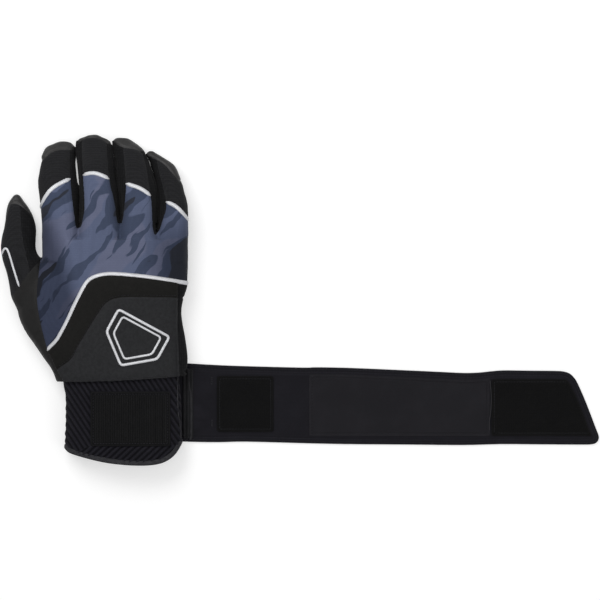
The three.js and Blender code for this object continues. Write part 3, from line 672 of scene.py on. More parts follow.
def knit_group():
    """Rows of small stitches, with fuzz, for knits and woven cloth, and painted shade in their low parts."""
    inputs = {"Vector": (VECTOR, None), "Stitch": (FLOAT, 1 * MM), "Fuzz": (FLOAT, 0.4)}
    tree, given, out = new_group("Knit", inputs, {"Height": FLOAT, "Shade": FLOAT})
    scale = math_node(tree, "DIVIDE", 1.0, given["Stitch"])
    place = turned(tree, given["Vector"], 0.0, (1.0, 0.7, 1.0))
    dots = math_node(tree, "SUBTRACT", 1.0, cells(tree, place, scale, 0.18))
    hair = noise(tree, given["Vector"], times(tree, scale, 2.3), 3.0, 0.7)
    height = times(tree, hair, given["Fuzz"], dots)
    tree.links.new(height, out["Height"])
    tree.links.new(ramp(tree, height, 0.35, 1.2), out["Shade"])
    return tree


def grain_group():
    """Pebbled leather with fine creases, and painted shade in the creases."""
    inputs = {"Vector": (VECTOR, None), "Pebble": (FLOAT, 1.4 * MM), "Crease": (FLOAT, 0.5)}
    tree, given, out = new_group("Leather grain", inputs, {"Height": FLOAT, "Shade": FLOAT})
    scale = math_node(tree, "DIVIDE", 1.0, given["Pebble"])
    pebble = math_node(tree, "SUBTRACT", 1.0, cells(tree, given["Vector"], scale, 1.0, "SMOOTH_F1"))
    fold = noise(tree, given["Vector"], times(tree, scale, 0.33), 4.0, 0.62, 0.6)
    height = times(tree, fold, given["Crease"], pebble)
    tree.links.new(height, out["Height"])
    tree.links.new(ramp(tree, fold, 0.3, 0.7), out["Shade"])
    return tree


def wear_and_highlight_group():
    """Lighter rub marks near seams and on slow patches; where the amount is high, as on the palm and thumb
    panel leather, they are partly painted highlight.
    """
    inputs = {"Vector": (VECTOR, None), "Colour": (COLOUR, (0.02, 0.02, 0.02, 1)), "Amount": (FLOAT, 0.5),
              "Edge": (FLOAT, 2 * MM)}
    tree, given, out = new_group("Wear", inputs, {"Colour": COLOUR, "Worn": FLOAT})
    seam = node(tree, "ShaderNodeAttribute", attribute_name="seam").outputs["Fac"]
    near = math_node(tree, "DIVIDE", seam, given["Edge"])
    near = math_node(tree, "SUBTRACT", 1.0, near, clamp=True)
    blotch = ramp(tree, noise(tree, given["Vector"], 70.0, 3.0, 0.6), 0.42, 0.75)
    rub = ramp(tree, noise(tree, given["Vector"], 420.0, 2.0, 0.6), 0.4, 0.7)
    worn = times(tree, near, times(tree, rub, 0.7, 0.2))
    worn = times(tree, blotch, 0.3, worn)
    worn = times(tree, worn, given["Amount"], clamp=True)
    lighter = mix(tree, 1.0, given["Colour"], (2.4, 2.35, 2.3), "MULTIPLY")
    tree.links.new(mix(tree, worn, given["Colour"], lighter), out["Colour"])
    tree.links.new(worn, out["Worn"])
    return tree


def camouflage_group():
    """Slanting brushed patches in three tones, with more dark strokes where the slowly changing painted
    shade is deeper.
    """
    inputs = {"Vector": (VECTOR, None), "Light": (COLOUR, (0.1, 0.13, 0.2, 1)),
              "Middle": (COLOUR, (0.05, 0.07, 0.12, 1)), "Dark": (COLOUR, (0.02, 0.03, 0.04, 1)),
              "Length": (FLOAT, 46 * MM), "Depth": (FLOAT, 0.0)}
    tree, given, out = new_group("Camouflage", inputs, {"Colour": COLOUR})
    place = node(tree, "ShaderNodeMapping", {"Vector": given["Vector"], "Scale": (1, 1, 0.12)}).outputs[0]
    bend = node(tree, "ShaderNodeTexNoise", {"Vector": place, "Scale": 55.0, "Detail": 2.0}).outputs["Color"]
    bend = vector_node(tree, "SUBTRACT", {0: bend, 1: (0.5, 0.5, 0.5)})
    bend = vector_node(tree, "SCALE", {0: bend, "Scale": 11 * MM})
    place = vector_node(tree, "ADD", {0: place, 1: bend})
    slanted = turned(tree, place, -0.87, (1.0, 3.0, 0.12))
    scale = math_node(tree, "DIVIDE", 1.0, given["Length"])
    strokes = noise(tree, slanted, scale, 1.6, 0.45)
    shifted = vector_node(tree, "ADD", {0: slanted, 1: (0.31, 0.17, 0.05)})
    patches = noise(tree, shifted, times(tree, scale, 0.8), 1.0, 0.4)
    long = turned(tree, place, -0.95, (1.0, 6.0, 0.12))
    streaks = noise(tree, long, times(tree, scale, 1.1), 2.0, 0.5)
    lighter = mix(tree, 1.0, given["Light"], (1.24, 1.14, 1.08), "MULTIPLY")
    # More dark strokes where the painted shade is deeper
    deep = times(tree, given["Depth"], 0.12, math_node(tree, "SUBTRACT", strokes, 0.66))
    tone = given["Light"]
    for value, low, high, over in (
            (patches, 0.53, 0.56, lighter), (streaks, 0.57, 0.6, given["Middle"]),
            (strokes, 0.535, 0.55, given["Middle"]), (deep, 0.0, 0.015, given["Dark"])):
        tone = mix(tree, ramp(tree, value, low, high), tone, over)
    tree.links.new(tone, out["Colour"])
    return tree


def effect(tree, name, values):
    """Places a shared effect's group, built once, with its own values."""
    makers = {"Knit": knit_group, "Leather grain": grain_group, "Wear": wear_and_highlight_group,
              "Camouflage": camouflage_group}
    if name not in GROUPS:
        GROUPS[name] = makers[name]()
    return node(tree, "ShaderNodeGroup", values, node_tree=GROUPS[name]).outputs


def new_material(name, roughness, specular, sheen=0.0, metallic=0.0):
    """A material with its tree, its Principled shader's inputs and the object coordinates."""
    made = bpy.data.materials.new(name)
    made.use_nodes = True
    tree = made.node_tree
    shader = tree.nodes["Principled BSDF"].inputs
    for key, value in (("Roughness", roughness), ("Specular IOR Level", specular), ("Sheen Weight", sheen),
                       ("Metallic", metallic)):
        shader[key].default_value = value
    return made, tree, shader, tree.nodes.new("ShaderNodeTexCoord").outputs["Object"]


def worn_colour(tree, shader, place, colour_now, amount, shade):
    """Links a colour, lighter where it is rubbed and, on the leather, partly where a painted highlight is,
    times its painted shade to the shader.
    """
    worn = effect(tree, "Wear", {"Vector": place, "Colour": (*colour_now, 1), "Amount": amount})
    tree.links.new(mix(tree, 1.0, worn["Colour"], shade, "MULTIPLY"), shader["Base Color"])


def relief(tree, shader, height, distance):
    """Fine relief of the surface, as a bump."""
    bump = node(tree, "ShaderNodeBump", {"Height": height, "Distance": distance, "Strength": 1.0})
    tree.links.new(bump.outputs[0], shader["Normal"])


def cloth_material(name, colour_now, stitch, roughness=0.92, fuzz=0.5, depth=0.12 * MM, sheen=0.03,
                   ribbed=False):
    """A matt knit or weave, with painted shade in the grooves between its ribs where it has them."""
    made, tree, shader, place = new_material(name, roughness, 0.08, sheen)
    knit = effect(tree, "Knit", {"Vector": place, "Stitch": stitch, "Fuzz": fuzz})
    shade = mix(tree, knit["Shade"], (0.62, 0.62, 0.62), (1.25, 1.25, 1.25))
    # Painted shade in the grooves between the ribs, from the rib attribute
    if ribbed:
        rib = node(tree, "ShaderNodeAttribute", attribute_name="rib").outputs["Fac"]
        painted_groove_shade = mix(tree, ramp(tree, rib, -0.9, 0.6), (0.38, 0.38, 0.4), (1.08, 1.08, 1.08))
        shade = mix(tree, 1.0, shade, painted_groove_shade, "MULTIPLY")
    worn_colour(tree, shader, place, colour_now, 0.35, shade)
    relief(tree, shader, knit["Height"], depth)
    return made


def leather_material(name, colour_now, pebble, roughness, crease, depth, wear, gloss):
    """Goat or synthetic leather with grain, painted shade in its creases, and rubbed edges that are partly
    wear and partly painted highlight.
    """
    made, tree, shader, place = new_material(name, roughness, gloss)
    grain = effect(tree, "Leather grain", {"Vector": place, "Pebble": pebble, "Crease": crease})
    shade = mix(tree, grain["Shade"], (0.8, 0.8, 0.8), (1.2, 1.2, 1.2))
    worn_colour(tree, shader, place, colour_now, wear, shade)
    rough = times(tree, grain["Shade"], 0.16, roughness - 0.08)
    tree.links.new(rough, shader["Roughness"])
    relief(tree, shader, grain["Height"], depth)
    return made


def camouflage_material(colours):
    """Printed stretch knit of the back, with painted shade darkening it towards the thumb and the little
    finger.
    """
    made, tree, shader, place = new_material("camouflage_knit", 0.85, 0.12, 0.04)
    x, y, _ = node(tree, "ShaderNodeSeparateXYZ", {0: place}).outputs
    # Painted shade: darker towards the little finger's side and the thumb's side of the lower back
    below = ramp(tree, y, 84 * MM, 52 * MM)
    right = times(tree, ramp(tree, x, 14 * MM, 40 * MM), below)
    slant = ramp(tree, times(tree, y, 0.3, x), -11 * MM, -26 * MM)
    left = times(tree, slant, ramp(tree, y, 86 * MM, 66 * MM))
    painted_shade = math_node(tree, "MAXIMUM", times(tree, right, 0.8), left)
    tones = {"Light": colours.camo_light, "Middle": colours.camo_mid, "Dark": colours.camo_dark}
    values = {"Vector": place, "Depth": painted_shade, **{key: (*tone, 1) for key, tone in tones.items()}}
    printed = effect(tree, "Camouflage", values)["Colour"]
    # The print is darkened where the painted shade lies
    shaded_print = mix(tree, painted_shade, printed, mix(tree, 1.0, printed, (0.36, 0.37, 0.4), "MULTIPLY"))
    knit = effect(tree, "Knit", {"Vector": place, "Stitch": 0.8 * MM, "Fuzz": 0.3})
    shade = mix(tree, knit["Shade"], (0.9, 0.9, 0.9), (1.08, 1.08, 1.08))
    tree.links.new(mix(tree, 1.0, shaded_print, shade, "MULTIPLY"), shader["Base Color"])
    relief(tree, shader, knit["Height"], 0.05 * MM)
    return made


def satin_material(name, colour_now):
    """Silver piping cloth: a fine twill with a soft gloss."""
    made, tree, shader, place = new_material(name, 0.42, 0.5, metallic=0.25)
    values = {"Vector": turned(tree, place, 0.785), "Scale": 420.0, "Distortion": 0.6, "Detail": 1.0}
    twill = node(tree, "ShaderNodeTexWave", values).outputs["Fac"]
    soil = ramp(tree, noise(tree, place, 160.0, 3.0, 0.6), 0.3, 0.75)
    dark = times(tree, twill, 0.35, times(tree, soil, 0.5))
    tree.links.new(mix(tree, dark, colour_now, tuple(c * 0.72 for c in colour_now)), shader["Base Color"])
    relief(tree, shader, twill, 0.08 * MM)
    return made


def make_materials(colours):
    """Every material of the glove, by its use."""
    MATERIALS["camo"] = camouflage_material(colours)
    for use, kind, name, tint, share, *values in (
            # use, kind, name, colour and the share of it, then what that kind of material takes
            ("knit", "cloth", "finger_knit", "knit", 1.2, 0.9 * MM),
            ("mesh", "cloth", "side_mesh", "knit", 0.62, 1.3 * MM, 0.95, 0.3),
            # The palm and thumb panel leathers' high wear amount, 0.5, is partly painted highlight on the
            # tips and edges
            ("leather", "leather", "palm_leather_black", "leather", 1, 1.1 * MM, 0.5, 0.6, 0.1 * MM, 0.5,
             0.24),
            ("panel_leather", "leather", "thumb_panel_leather", "leather", 0.62, 1.2 * MM, 0.6, 0.6,
             0.1 * MM, 0.5, 0.12),
            ("guard", "leather", "guard_band_leather", "guard", 1, 0.8 * MM, 0.62, 0.3, 0.06 * MM, 0.25,
             0.06),
            ("emblem", "leather", "emblem_panel_leather", "emblem", 1, 0.7 * MM, 0.6, 0.25, 0.05 * MM, 0.2,
             0.07),
            ("silver", "satin", "silver_piping", "silver", 1),
            # The ribbed cuff and loop tape get painted shade in their grooves
            ("cuff", "cloth", "cuff_elastic", "cuff", 1, 0.7 * MM, 0.9, 0.5, 0.12 * MM, 0.03, True),
            ("strap", "cloth", "strap_jersey", "strap", 1, 0.6 * MM, 0.88, 0.6, 0.05 * MM),
            ("strap_panel", "cloth", "strap_inlay", "panel", 1, 0.5 * MM, 0.8, 0.3, 0.03 * MM),
            ("hook", "cloth", "hook_tape", "hook", 1, 1.2 * MM, 0.97, 0.9, 0.2 * MM, 0.05),
            ("loop", "cloth", "loop_tape", "hook", 2.1, 0.9 * MM, 0.97, 0.9, 0.2 * MM, 0.03, True),
            ("binding", "cloth", "binding_tape", "binding", 1, 0.7 * MM, 0.7, 0.3, 0.06 * MM),
            ("thread", "cloth", "sewing_thread", "thread", 1, 0.3 * MM, 0.6, 0.2, 0.03 * MM)):
        maker = {"cloth": cloth_material, "leather": leather_material, "satin": satin_material}[kind]
        MATERIALS[use] = maker(name, tuple(share * part for part in getattr(colours, tint)), *values)


# The glove's outer skin

def top_view(shares):
    """A smooth line in the top view from shares of the hand's width and the glove's length."""
    return smooth_line(np.asarray(shares) * glove_scale(), 10)


def glove_scale():
    """The hand's width and the glove's length."""
    sizes = get_sizes()
    return np.array([sizes.hand_width, sizes.glove_length])


def section(left, right, bottom, top, points):
    """One ring of the hollow fabric: flat below with rounded corners, and crowned above."""
    quarter = points // 4
    middle, half = (left + right) / 2, (right - left) / 2
    side_height = bottom + (top - bottom) * SIDE_HEIGHT
    corner = min(half, (right - left) * LOWER_ROUND)
    angle = np.linspace(0, np.pi, 2 * quarter, endpoint=False)
    cos, sin = np.cos(angle), np.sin(angle)
    crown = np.stack([
        middle + half * np.sign(cos) * np.abs(cos) ** CROWN_POWER,
        side_height + (top - side_height) * np.abs(sin) ** CROWN_POWER,
    ], axis=1)
    angle = np.linspace(0, np.pi / 2, quarter, endpoint=False)
    drop = (side_height - bottom) * np.sin(angle)
    near = np.stack([left + corner * (1 - np.cos(angle)), side_height - drop], axis=1)
    angle = angle[::-1] + angle[1]
    drop = (side_height - bottom) * np.sin(angle)
    far = np.stack([right - corner * (1 - np.cos(angle)), side_height - drop], axis=1)
    closed = np.vstack([crown, near, far, crown[:1]])
    length = run_lengths(closed)
    return at_lengths(closed, length, np.linspace(0, length[-1], points, endpoint=False))


def loft(y, left, right, bottom, top, points):
    """A closed tube through a ring at each y."""
    rings = [section(*row, points) for row in zip(left, right, bottom, top)]
    co = np.stack([np.column_stack([r[:, 0], np.full(points, at), r[:, 1]]) for r, at in zip(rings, y)])
    co, tri = with_ends(co.reshape(-1, 3), grid_faces(len(y), points, True), len(y), points)
    return co, outward(co, tri)


def row_curves(shares, along):
    """The left, right and height of a table of rows, read at the places along it."""
    rows = np.asarray(shares)
    return (between(along, rows[:, 0], rows[:, k]) for k in (1, 2, 3))


def hand_loft():
    """The hand by itself, from the heel to the roots of the fingers."""
    sizes = get_sizes()
    along = np.linspace(HAND_ROWS[0][0], HAND_ROWS[-1][0], 48)
    left, right, height = row_curves(HAND_ROWS, along)
    top = sizes.cuff_depth + (sizes.palm_depth - sizes.cuff_depth) * height
    width = sizes.hand_width
    return loft(along * sizes.glove_length, left * width, right * width, np.zeros_like(top), top, 96)


def digit_loft(shares, hinge, depth, arch, tip_round, points):
    """A finger that keeps its height to its hinge, curls down and closes round at its tip."""
    sizes = get_sizes()
    rows = np.asarray(shares) * (sizes.glove_length, sizes.hand_width, sizes.hand_width)
    hinge *= sizes.glove_length
    tip = rows[-1, 0]
    end = tip + np.sin(np.linspace(*TIP_ANGLES)) * tip_round
    y = np.concatenate([np.linspace(rows[0, 0], tip, DIGIT_ROWS), end])
    inside = np.minimum(y, tip)
    left, right = between(inside, rows[:, 0], rows[:, 1]), between(inside, rows[:, 0], rows[:, 2])
    reach = np.clip((inside - hinge) / (tip - hinge), 0, 1)
    bottom = arch * np.sin(np.pi * reach)
    top = depth * (1 - TIP_DROP * reach ** TIP_DROP_POWER)
    close = np.sqrt(np.clip(1 - np.clip((y - tip) / max(tip_round, 1e-9), 0, 1) ** 2, 0, 1))
    across, up = (left + right) / 2, (bottom + top) / 2
    left, right = across + (left - across) * close, across + (right - across) * close
    bottom, top = up + (bottom - up) * close, up + (top - up) * close
    return loft(y, left, right, bottom, top, points)


def finger_loft(name, points=DIGIT_POINTS):
    """One finger by itself."""
    sizes, finger = get_sizes(), FINGERS[name]
    depth = sizes.palm_depth * finger["height"]
    return digit_loft(finger["rows"], finger["hinge"], depth, sizes.finger_arch, sizes.tip_round, points)


def whole_form():
    """The hand, the thumb and the four fingers in one closed skin."""
    sizes = get_sizes()
    depth = sizes.thumb_depth * THUMB_HEIGHT
    thumb = digit_loft(THUMB_ROWS, THUMB_HINGE, depth, 0, sizes.tip_round, DIGIT_POINTS)
    co, tri = joined([hand_loft(), thumb, *(finger_loft(name) for name in FINGERS)])
    rough = new_object("rough_form", co, tri)
    remesh = rough.modifiers.new("Skin", "REMESH")
    remesh.mode = "VOXEL"
    remesh.voxel_size = sizes.skin_detail * 1
    co, tri = arrays(rough)
    remove(rough)
    return smoothed(co, tri, 4), tri


def joined(forms):
    """Several meshes as one."""
    starts = np.cumsum([0] + [len(co) for co, _ in forms])
    tri = np.vstack([tri + start for (_, tri), start in zip(forms, starts)])
    return np.vstack([co for co, _ in forms]), tri


# Seams that divide the skin into its pieces

def webbed(values):
    """Positive within the seams of a gap between two fingers."""
    return np.maximum.reduce([values[f"web_{name}"] for name in GAP_SEAMS])


def measured_skin():
    """The skin with the distance to each seam on its points, cut along every seam."""
    sizes = get_sizes()
    skin = Skin(*whole_form())
    values, co = skin.values, skin.co
    values["back"] = co[:, 2] - sizes.seam_height
    for name, way, line in (
            ("thumb_seam", 1, THUMB_SEAM), ("guard", -1, GUARD_PIPING), ("emblem", -1, GUARD_INNER),
            ("hand", 1, CUFF_SEAM), ("gusset", 1, SIDE_SEAM), ("thumb", 1, THUMB_CUT),
            ("thumb_inner", 1, THUMB_BACK_SEAM), ("thumb_tip", 1, THUMB_TIP)):
        values[name] = way * side(co, top_view(line))
    for name, seam in GAP_SEAMS.items():
        values[f"web_{name}"] = side(co, top_view(seam))
        values[f"gap_{name}"] = side(co, top_view(GAP_LINES[name]))
    for name, finger in FINGERS.items():
        values[f"root_{name}"] = co[:, 1] - finger["root"] * sizes.glove_length
        values[f"piping_{name}"] = side(co, top_view(finger["piping"]))
        values[f"tip_{name}"] = side(co, top_view(finger["tip"]))
    cut_seams(skin)
    return skin


def cut_seams(skin):
    """Cuts the skin along every seam, each only where it is sewn."""
    sizes, values = get_sizes(), skin.values
    snap = sizes.skin_detail * 0.16

    def beyond(share):
        """How far each point lies beyond a share of the glove's length."""
        return skin.co[:, 1] - share * sizes.glove_length

    def off_thumb():
        return values["thumb"] <= 0

    def upper():
        return (values["back"] >= 0) & (values["hand"] >= 0) & off_thumb()

    def on_thumb():
        return (values["back"] >= 0) & (values["hand"] >= 0) & (values["thumb"] >= 0)

    skin.cut("hand", snap)
    skin.cut("back", snap)
    skin.cut("thumb", snap, values["hand"] > 0)
    for name, seam in GAP_SEAMS.items():
        root = seam[ROOT_POINT][1] - ROOT_MARGIN
        skin.cut(f"gap_{name}", snap, (beyond(root) > 0) & off_thumb())
    for name in FINGERS:
        skin.cut(f"root_{name}", snap, of_finger(values, name, -1) & off_thumb())
    for name in GAP_SEAMS:
        values[f"near_{name}"] = np.abs(values[f"gap_{name}"]) - sizes.touch_reach
        skin.cut(f"near_{name}", snap, (beyond(WALL_START) > 0) & off_thumb())
    skin.cut("thumb_seam", snap, upper() & (beyond(THUMB_SEAM_END) < 0))
    skin.cut("guard", snap, upper() & (values["thumb_seam"] >= 0))
    skin.cut("emblem", snap, upper() & (values["thumb_seam"] >= 0) & (values["guard"] >= 0))
    skin.cut("gusset", snap, upper() & (values["guard"] >= 0))
    for name in GAP_SEAMS:
        skin.cut(f"web_{name}", snap, upper() & (beyond(WEB_START) > 0))
    for name in FINGERS:
        skin.cut(f"tip_{name}", snap, upper() & of_finger(values, name, 0))
        skin.cut(f"piping_{name}", snap, upper() & of_finger(values, name, 0) & (webbed(values) <= 0))
    skin.cut("thumb_tip", snap, on_thumb())
    skin.cut("thumb_inner", snap, on_thumb() & (values["thumb_tip"] <= 0))


def of_finger(values, name, low):
    """Where a finger's own zone is, between the middles of the gaps beside it and beyond low."""
    inside = values[f"root_{name}"] >= low
    for gap, own, _ in finger_gaps(name):
        inside = inside & (own * values[f"gap_{gap}"] >= 0)
    return inside


def finger_gaps(name):
    """The gaps beside a finger, each with the sign of its distance there and its side of the finger."""
    k, gaps = list(FINGERS).index(name), list(GAP_SEAMS)
    both = ((k - 1, 1, "inner"), (k, -1, "outer"))
    return [(gaps[at], own, where) for at, own, where in both if 0 <= at < len(gaps)]


def divide(skin):
    """The faces of each piece, by name."""
    at = {name: skin.at_faces(name) for name in skin.values}
    back = at["back"] > 0
    left = at["hand"] > 0
    thumb = left & (at["thumb"] > 0)
    tip = back & thumb & (at["thumb_tip"] > 0)
    pieces = {
        "thumb_inner_side": back & thumb & ~tip & (at["thumb_inner"] > 0),
        "thumb_back": back & thumb & ~tip & (at["thumb_inner"] <= 0),
        "thumb_front": thumb & (~back | tip),
    }
    left = left & ~thumb
    apart = np.minimum.reduce([at[f"near_{name}"] for name in GAP_SEAMS]) > 0
    for name in FINGERS:
        zone = left & of_finger(at, name, 0)
        left = left & ~zone
        zone = zone & apart
        tip = back & zone & (at[f"tip_{name}"] > 0)
        upper = back & zone & ~tip
        for gap, _, where in finger_gaps(name):
            beside = upper & (at[f"web_{gap}"] > 0)
            pieces[f"{name}_{where}_side"] = beside
            upper = upper & ~beside
        pieces[f"{name}_back_panel"] = upper & (at[f"piping_{name}"] <= 0)
        pieces[f"{name}_finger_back"] = upper & (at[f"piping_{name}"] > 0)
        pieces[f"{name}_finger_front"] = zone & (~back | tip)
    pieces["palm_leather"] = left & ~back
    left = left & back
    pieces["thumb_side_panel"] = left & (at["thumb_seam"] < 0)
    left = left & (at["thumb_seam"] >= 0)
    for name in GAP_SEAMS:
        pieces[f"{name}_web"] = left & (at[f"web_{name}"] > 0)
    left = left & (webbed(at) <= 0)
    guard = left & (at["guard"] > 0)
    pieces["side_gusset"] = guard & (at["gusset"] > 0)
    pieces["emblem_panel"] = guard & (at["gusset"] <= 0) & (at["emblem"] > 0)
    pieces["guard_band"] = guard & (at["gusset"] <= 0) & (at["emblem"] <= 0)
    pieces["back_panel"] = left & ~guard
    return pieces


# Relief of the skin: seams, padding, creases

def seam_dips(values, co):
    """How deep each point lies in a sewn seam, from 0 to 1, and its distance to the nearest seam."""
    sizes = get_sizes()
    back, thumb = values["back"] >= 0, values["thumb"] >= 0
    hand = back & (values["thumb"] <= 0)
    panels = hand & (values["thumb_seam"] >= 0)
    beyond = {name: hand & of_finger(values, name, 0) for name in FINGERS}
    tips = back & thumb & (values["thumb_tip"] > 0)
    for name in FINGERS:
        tips |= beyond[name] & (values[f"tip_{name}"] > 0)
    seams = [
        # the value, where the seam is sewn, and how deep it pulls in
        ("back", ~tips & (between_fingers(values) < 0), 1.0),
        ("thumb_seam", hand & (co[:, 1] < THUMB_SEAM_END * sizes.glove_length), 1.2),
        ("guard", panels, 0.6), ("emblem", panels & (values["guard"] >= 0), 1.1),
        ("gusset", hand & (values["guard"] >= 0), 1.0), ("hand", values["thumb"] <= 0, 0.9),
        ("thumb_tip", back & thumb, 0.9), ("thumb_inner", back & thumb & (values["thumb_tip"] <= 0), 0.9),
    ]
    for name in GAP_SEAMS:
        seams.append((f"web_{name}", hand & (co[:, 1] > WEB_START * sizes.glove_length) & ~tips, 0.7))
    for name in FINGERS:
        seams.append((f"tip_{name}", beyond[name], 1.0))
        seams.append((f"piping_{name}", beyond[name] & (webbed(values) <= 0), 0.6))
    dip = np.zeros(len(co))
    distance = np.full(len(co), 1.0)
    for name, where, depth in seams:
        away = np.where(where, np.abs(values[name]), 1.0)
        dip = np.maximum(dip, depth * np.exp(-(away / sizes.seam_width) ** 2))
        distance = np.minimum(distance, away)
    return dip, distance


def between_fingers(values):
    """Positive on the walls of the gaps between the fingers."""
    sizes = get_sizes()
    gap = np.minimum.reduce([np.abs(values[f"gap_{name}"]) for name in GAP_SEAMS])
    beyond = np.maximum.reduce([values[f"root_{name}"] for name in FINGERS])
    return np.minimum(beyond, 4 * sizes.seam_width - gap)


def shaped(skin):
    """Moves the skin's points along their normals into the glove's relief."""
    sizes = get_sizes()
    values, co = skin.values, skin.co
    normal = vertex_normals(co, skin.tri)
    back = rise(values["back"], -0.5 * MM, 1.5 * MM)
    on_hand = (values["thumb"] <= 0) & (values["back"] >= 0)
    dip, distance = seam_dips(values, co)
    push = -sizes.seam_depth * dip

    # The guard stands out, and the gusset bulges in gathered folds
    inside_guard = np.minimum.reduce([values["guard"], values["thumb_seam"], values["back"] * 2])
    guard = np.where(on_hand, rise(inside_guard, 0, 1.4 * MM), 0)
    gusset = np.where(on_hand, rise(values["gusset"], -0.4 * MM, 0.4 * MM), 0)
    push += sizes.guard_rise * guard * (1 - 0.75 * gusset)
    bulge = rise(co[:, 1] / sizes.glove_length, 0.05, -0.115) * gusset * np.where(values["hand"] >= 0, 1, 0)
    folds = np.cos(2 * np.pi * (co[:, 0] + 0.35 * co[:, 2]) / (3.6 * MM))
    folds = folds + 0.5 * ripple(co, 9 * MM, 9, (1, 3, 1))
    push += bulge * (sizes.gusset_bulge + 0.35 * MM * folds)

    # Its padding is fullest away from its seams
    pad = np.minimum.reduce([values["guard"], values["thumb_seam"], -values["gusset"], values["hand"]])
    full = np.minimum(rise(np.abs(values["emblem"]), 0, 5 * MM), rise(pad, 0, 5 * MM))
    push += 0.5 * MM * np.where(on_hand & (pad > 0), full, 0)

    # The webs lie deep at the roots of the fingers, and the tips are thick
    near_root = rise(co[:, 1], 0.44 * sizes.glove_length, 0.34 * sizes.glove_length)
    in_web = on_hand & (co[:, 1] > WEB_START * sizes.glove_length)
    push -= 0.45 * MM * np.where(in_web, rise(webbed(values), 0, 2 * MM) * near_root, 0)
    push += 0.35 * MM * beyond_line(values, "tip", 0.8 * MM, on_hand)

    # Soft creases all over, with more on leather and on the knuckles
    soft = rise(distance, 0.3 * MM, 3 * MM) * (1 - 0.8 * guard)
    leather = np.maximum(1 - back, np.where(values["thumb_seam"] < 0, 1, 0) * back)
    knuckle = beyond_line(values, "piping", 2 * MM, on_hand)
    for where, depth, size, seed, stretch in (
            (soft, 0.16, 11, 3, (1.6, 1, 1)), (soft, 0.07, 4.5, 4, (1.8, 1, 1)),
            (soft * leather, 0.22, 7, 5, (1, 2.2, 1)), (soft * knuckle, 0.2, 6, 6, (4, 1, 2))):
        push += where * depth * MM * ripple(co, size * MM, seed, stretch)
    skin.co = co + normal * push[:, None]
    values["seam"] = distance


def beyond_line(values, line, reach, where):
    """From 0 at a line across each finger, its tip or its piping, to 1 at some reach beyond it."""
    out = np.zeros(len(where))
    for name in FINGERS:
        zone = where & of_finger(values, name, 0)
        out = np.maximum(out, np.where(zone, rise(values[f"{line}_{name}"], 0, reach), 0))
    return out


# Material and record's slot of each piece of the skin, by the ending of its name
FABRICS = {
    "palm_leather": ("leather", "leather"), "_front": ("leather", "leather"),
    "thumb_side_panel": ("panel_leather", "black_knit"), "_back": ("knit", "black_knit"),
    "back_panel": ("camo", "camo"), "emblem_panel": ("emblem", "emblem_grey"),
    "guard_band": ("guard", "guard_black"), "_gusset": ("mesh", "black_knit"),
    "_side": ("mesh", "black_knit"), "_web": ("mesh", "black_knit"), "_wall": ("mesh", "black_knit"),
}

# The guard's padded pieces, with the CAD solid of the foam that they hold
PADDED = {"guard_band": (), "emblem_panel": ("guard_foam",)}


def add_fabric(name, base, part, seam):
    """Adds a piece of fabric, placed as its base is by bend_with, with its distance to the seams."""
    co, faces, corner = part
    fabric, slot = next(value for ending, value in FABRICS.items() if base.endswith(ending))
    thing = new_object(name, co, faces, fabric, normals=corner)
    keep_value(thing, "seam", seam)
    bend_with(thing, base)
    return thing


def bend_with(thing, name):
    """Bakes a finger's or the thumb's piece in place, or rides the piece on the hand."""
    for finger, shares in FINGERS.items():
        if name.startswith(finger) and not name.endswith("_web"):
            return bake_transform(thing)
    if name.startswith("thumb") and name != "thumb_side_panel":
        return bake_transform(thing)
    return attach(thing, "hand")


def touching_wall(name, gap, own):
    """A finger's wall along its neighbour: flat where the two touch, and tucked under the skin beyond."""
    sizes = get_sizes()
    co, tri = finger_loft(name, 120)
    line = top_view(GAP_LINES[gap])
    away = own * side(co, line)
    target = away * rise(away, 0.65 * MM, 1.35 * MM)
    for _ in range(2):
        co[:, 0] += own * (target - own * side(co, line))
    wall = Skin(co, tri)
    wall.values = {"away": away, "near": 2 * sizes.touch_reach - away,
                   "past": co[:, 1] - FINGERS[name]["root"] * sizes.glove_length + 1.5 * MM}
    wall.cut("near", 0.05 * MM)
    wall.cut("past", 0.05 * MM)
    tri = wall.tri[(wall.at_faces("near") > 0) & (wall.at_faces("past") > 0)]
    normal = vertex_normals(wall.co, wall.tri)
    tuck = 0.35 * MM * rise(wall.values["away"], 0.7 * MM, 1.2 * MM)
    return thick(wall.co - normal * tuck[:, None], tri, normal, 0.8 * MM)


class GLOVE_OT_skin(bpy.types.Operator):
    """Builds the fabric and leather panels of the hand, the fingers and the thumb"""
    bl_idname = "glove.skin"
    bl_label = "Hand, Fingers and Thumb"

    def execute(self, context):
        sizes = context.scene.glove_sizes
        skin = measured_skin()
        shaped(skin)
        normal = vertex_normals(skin.co, skin.tri)
        SKIN["skin"], SKIN["normal"] = skin, normal
        SKIN["tree"] = BVHTree.FromPolygons(skin.co.tolist(), skin.tri.tolist())
        for name, chosen in divide(skin).items():
            wall = sizes.wall + (sizes.guard_rise if name in PADDED else 0)
            tri = skin.tri[chosen]
            part = thick(skin.co, tri, normal, wall)
            thing = add_fabric(f"{name}_cloth", name, part, skin.values["seam"][np.unique(tri)])
            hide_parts(name, *PADDED.get(name, ()))
        for name in FINGERS:
            for gap, own, where in finger_gaps(name):
                part = touching_wall(name, gap, own)
                wall = f"{name}_{where}_wall"
                add_fabric(wall, wall, part, np.full(len(part[0]) // 2, 1.0))
        return {"FINISHED"}


# Cuff

def hem_height(x):
    """How far down the hem lies at x."""
    line = top_view(HEM)
    return np.interp(x, line[:, 0], line[:, 1])


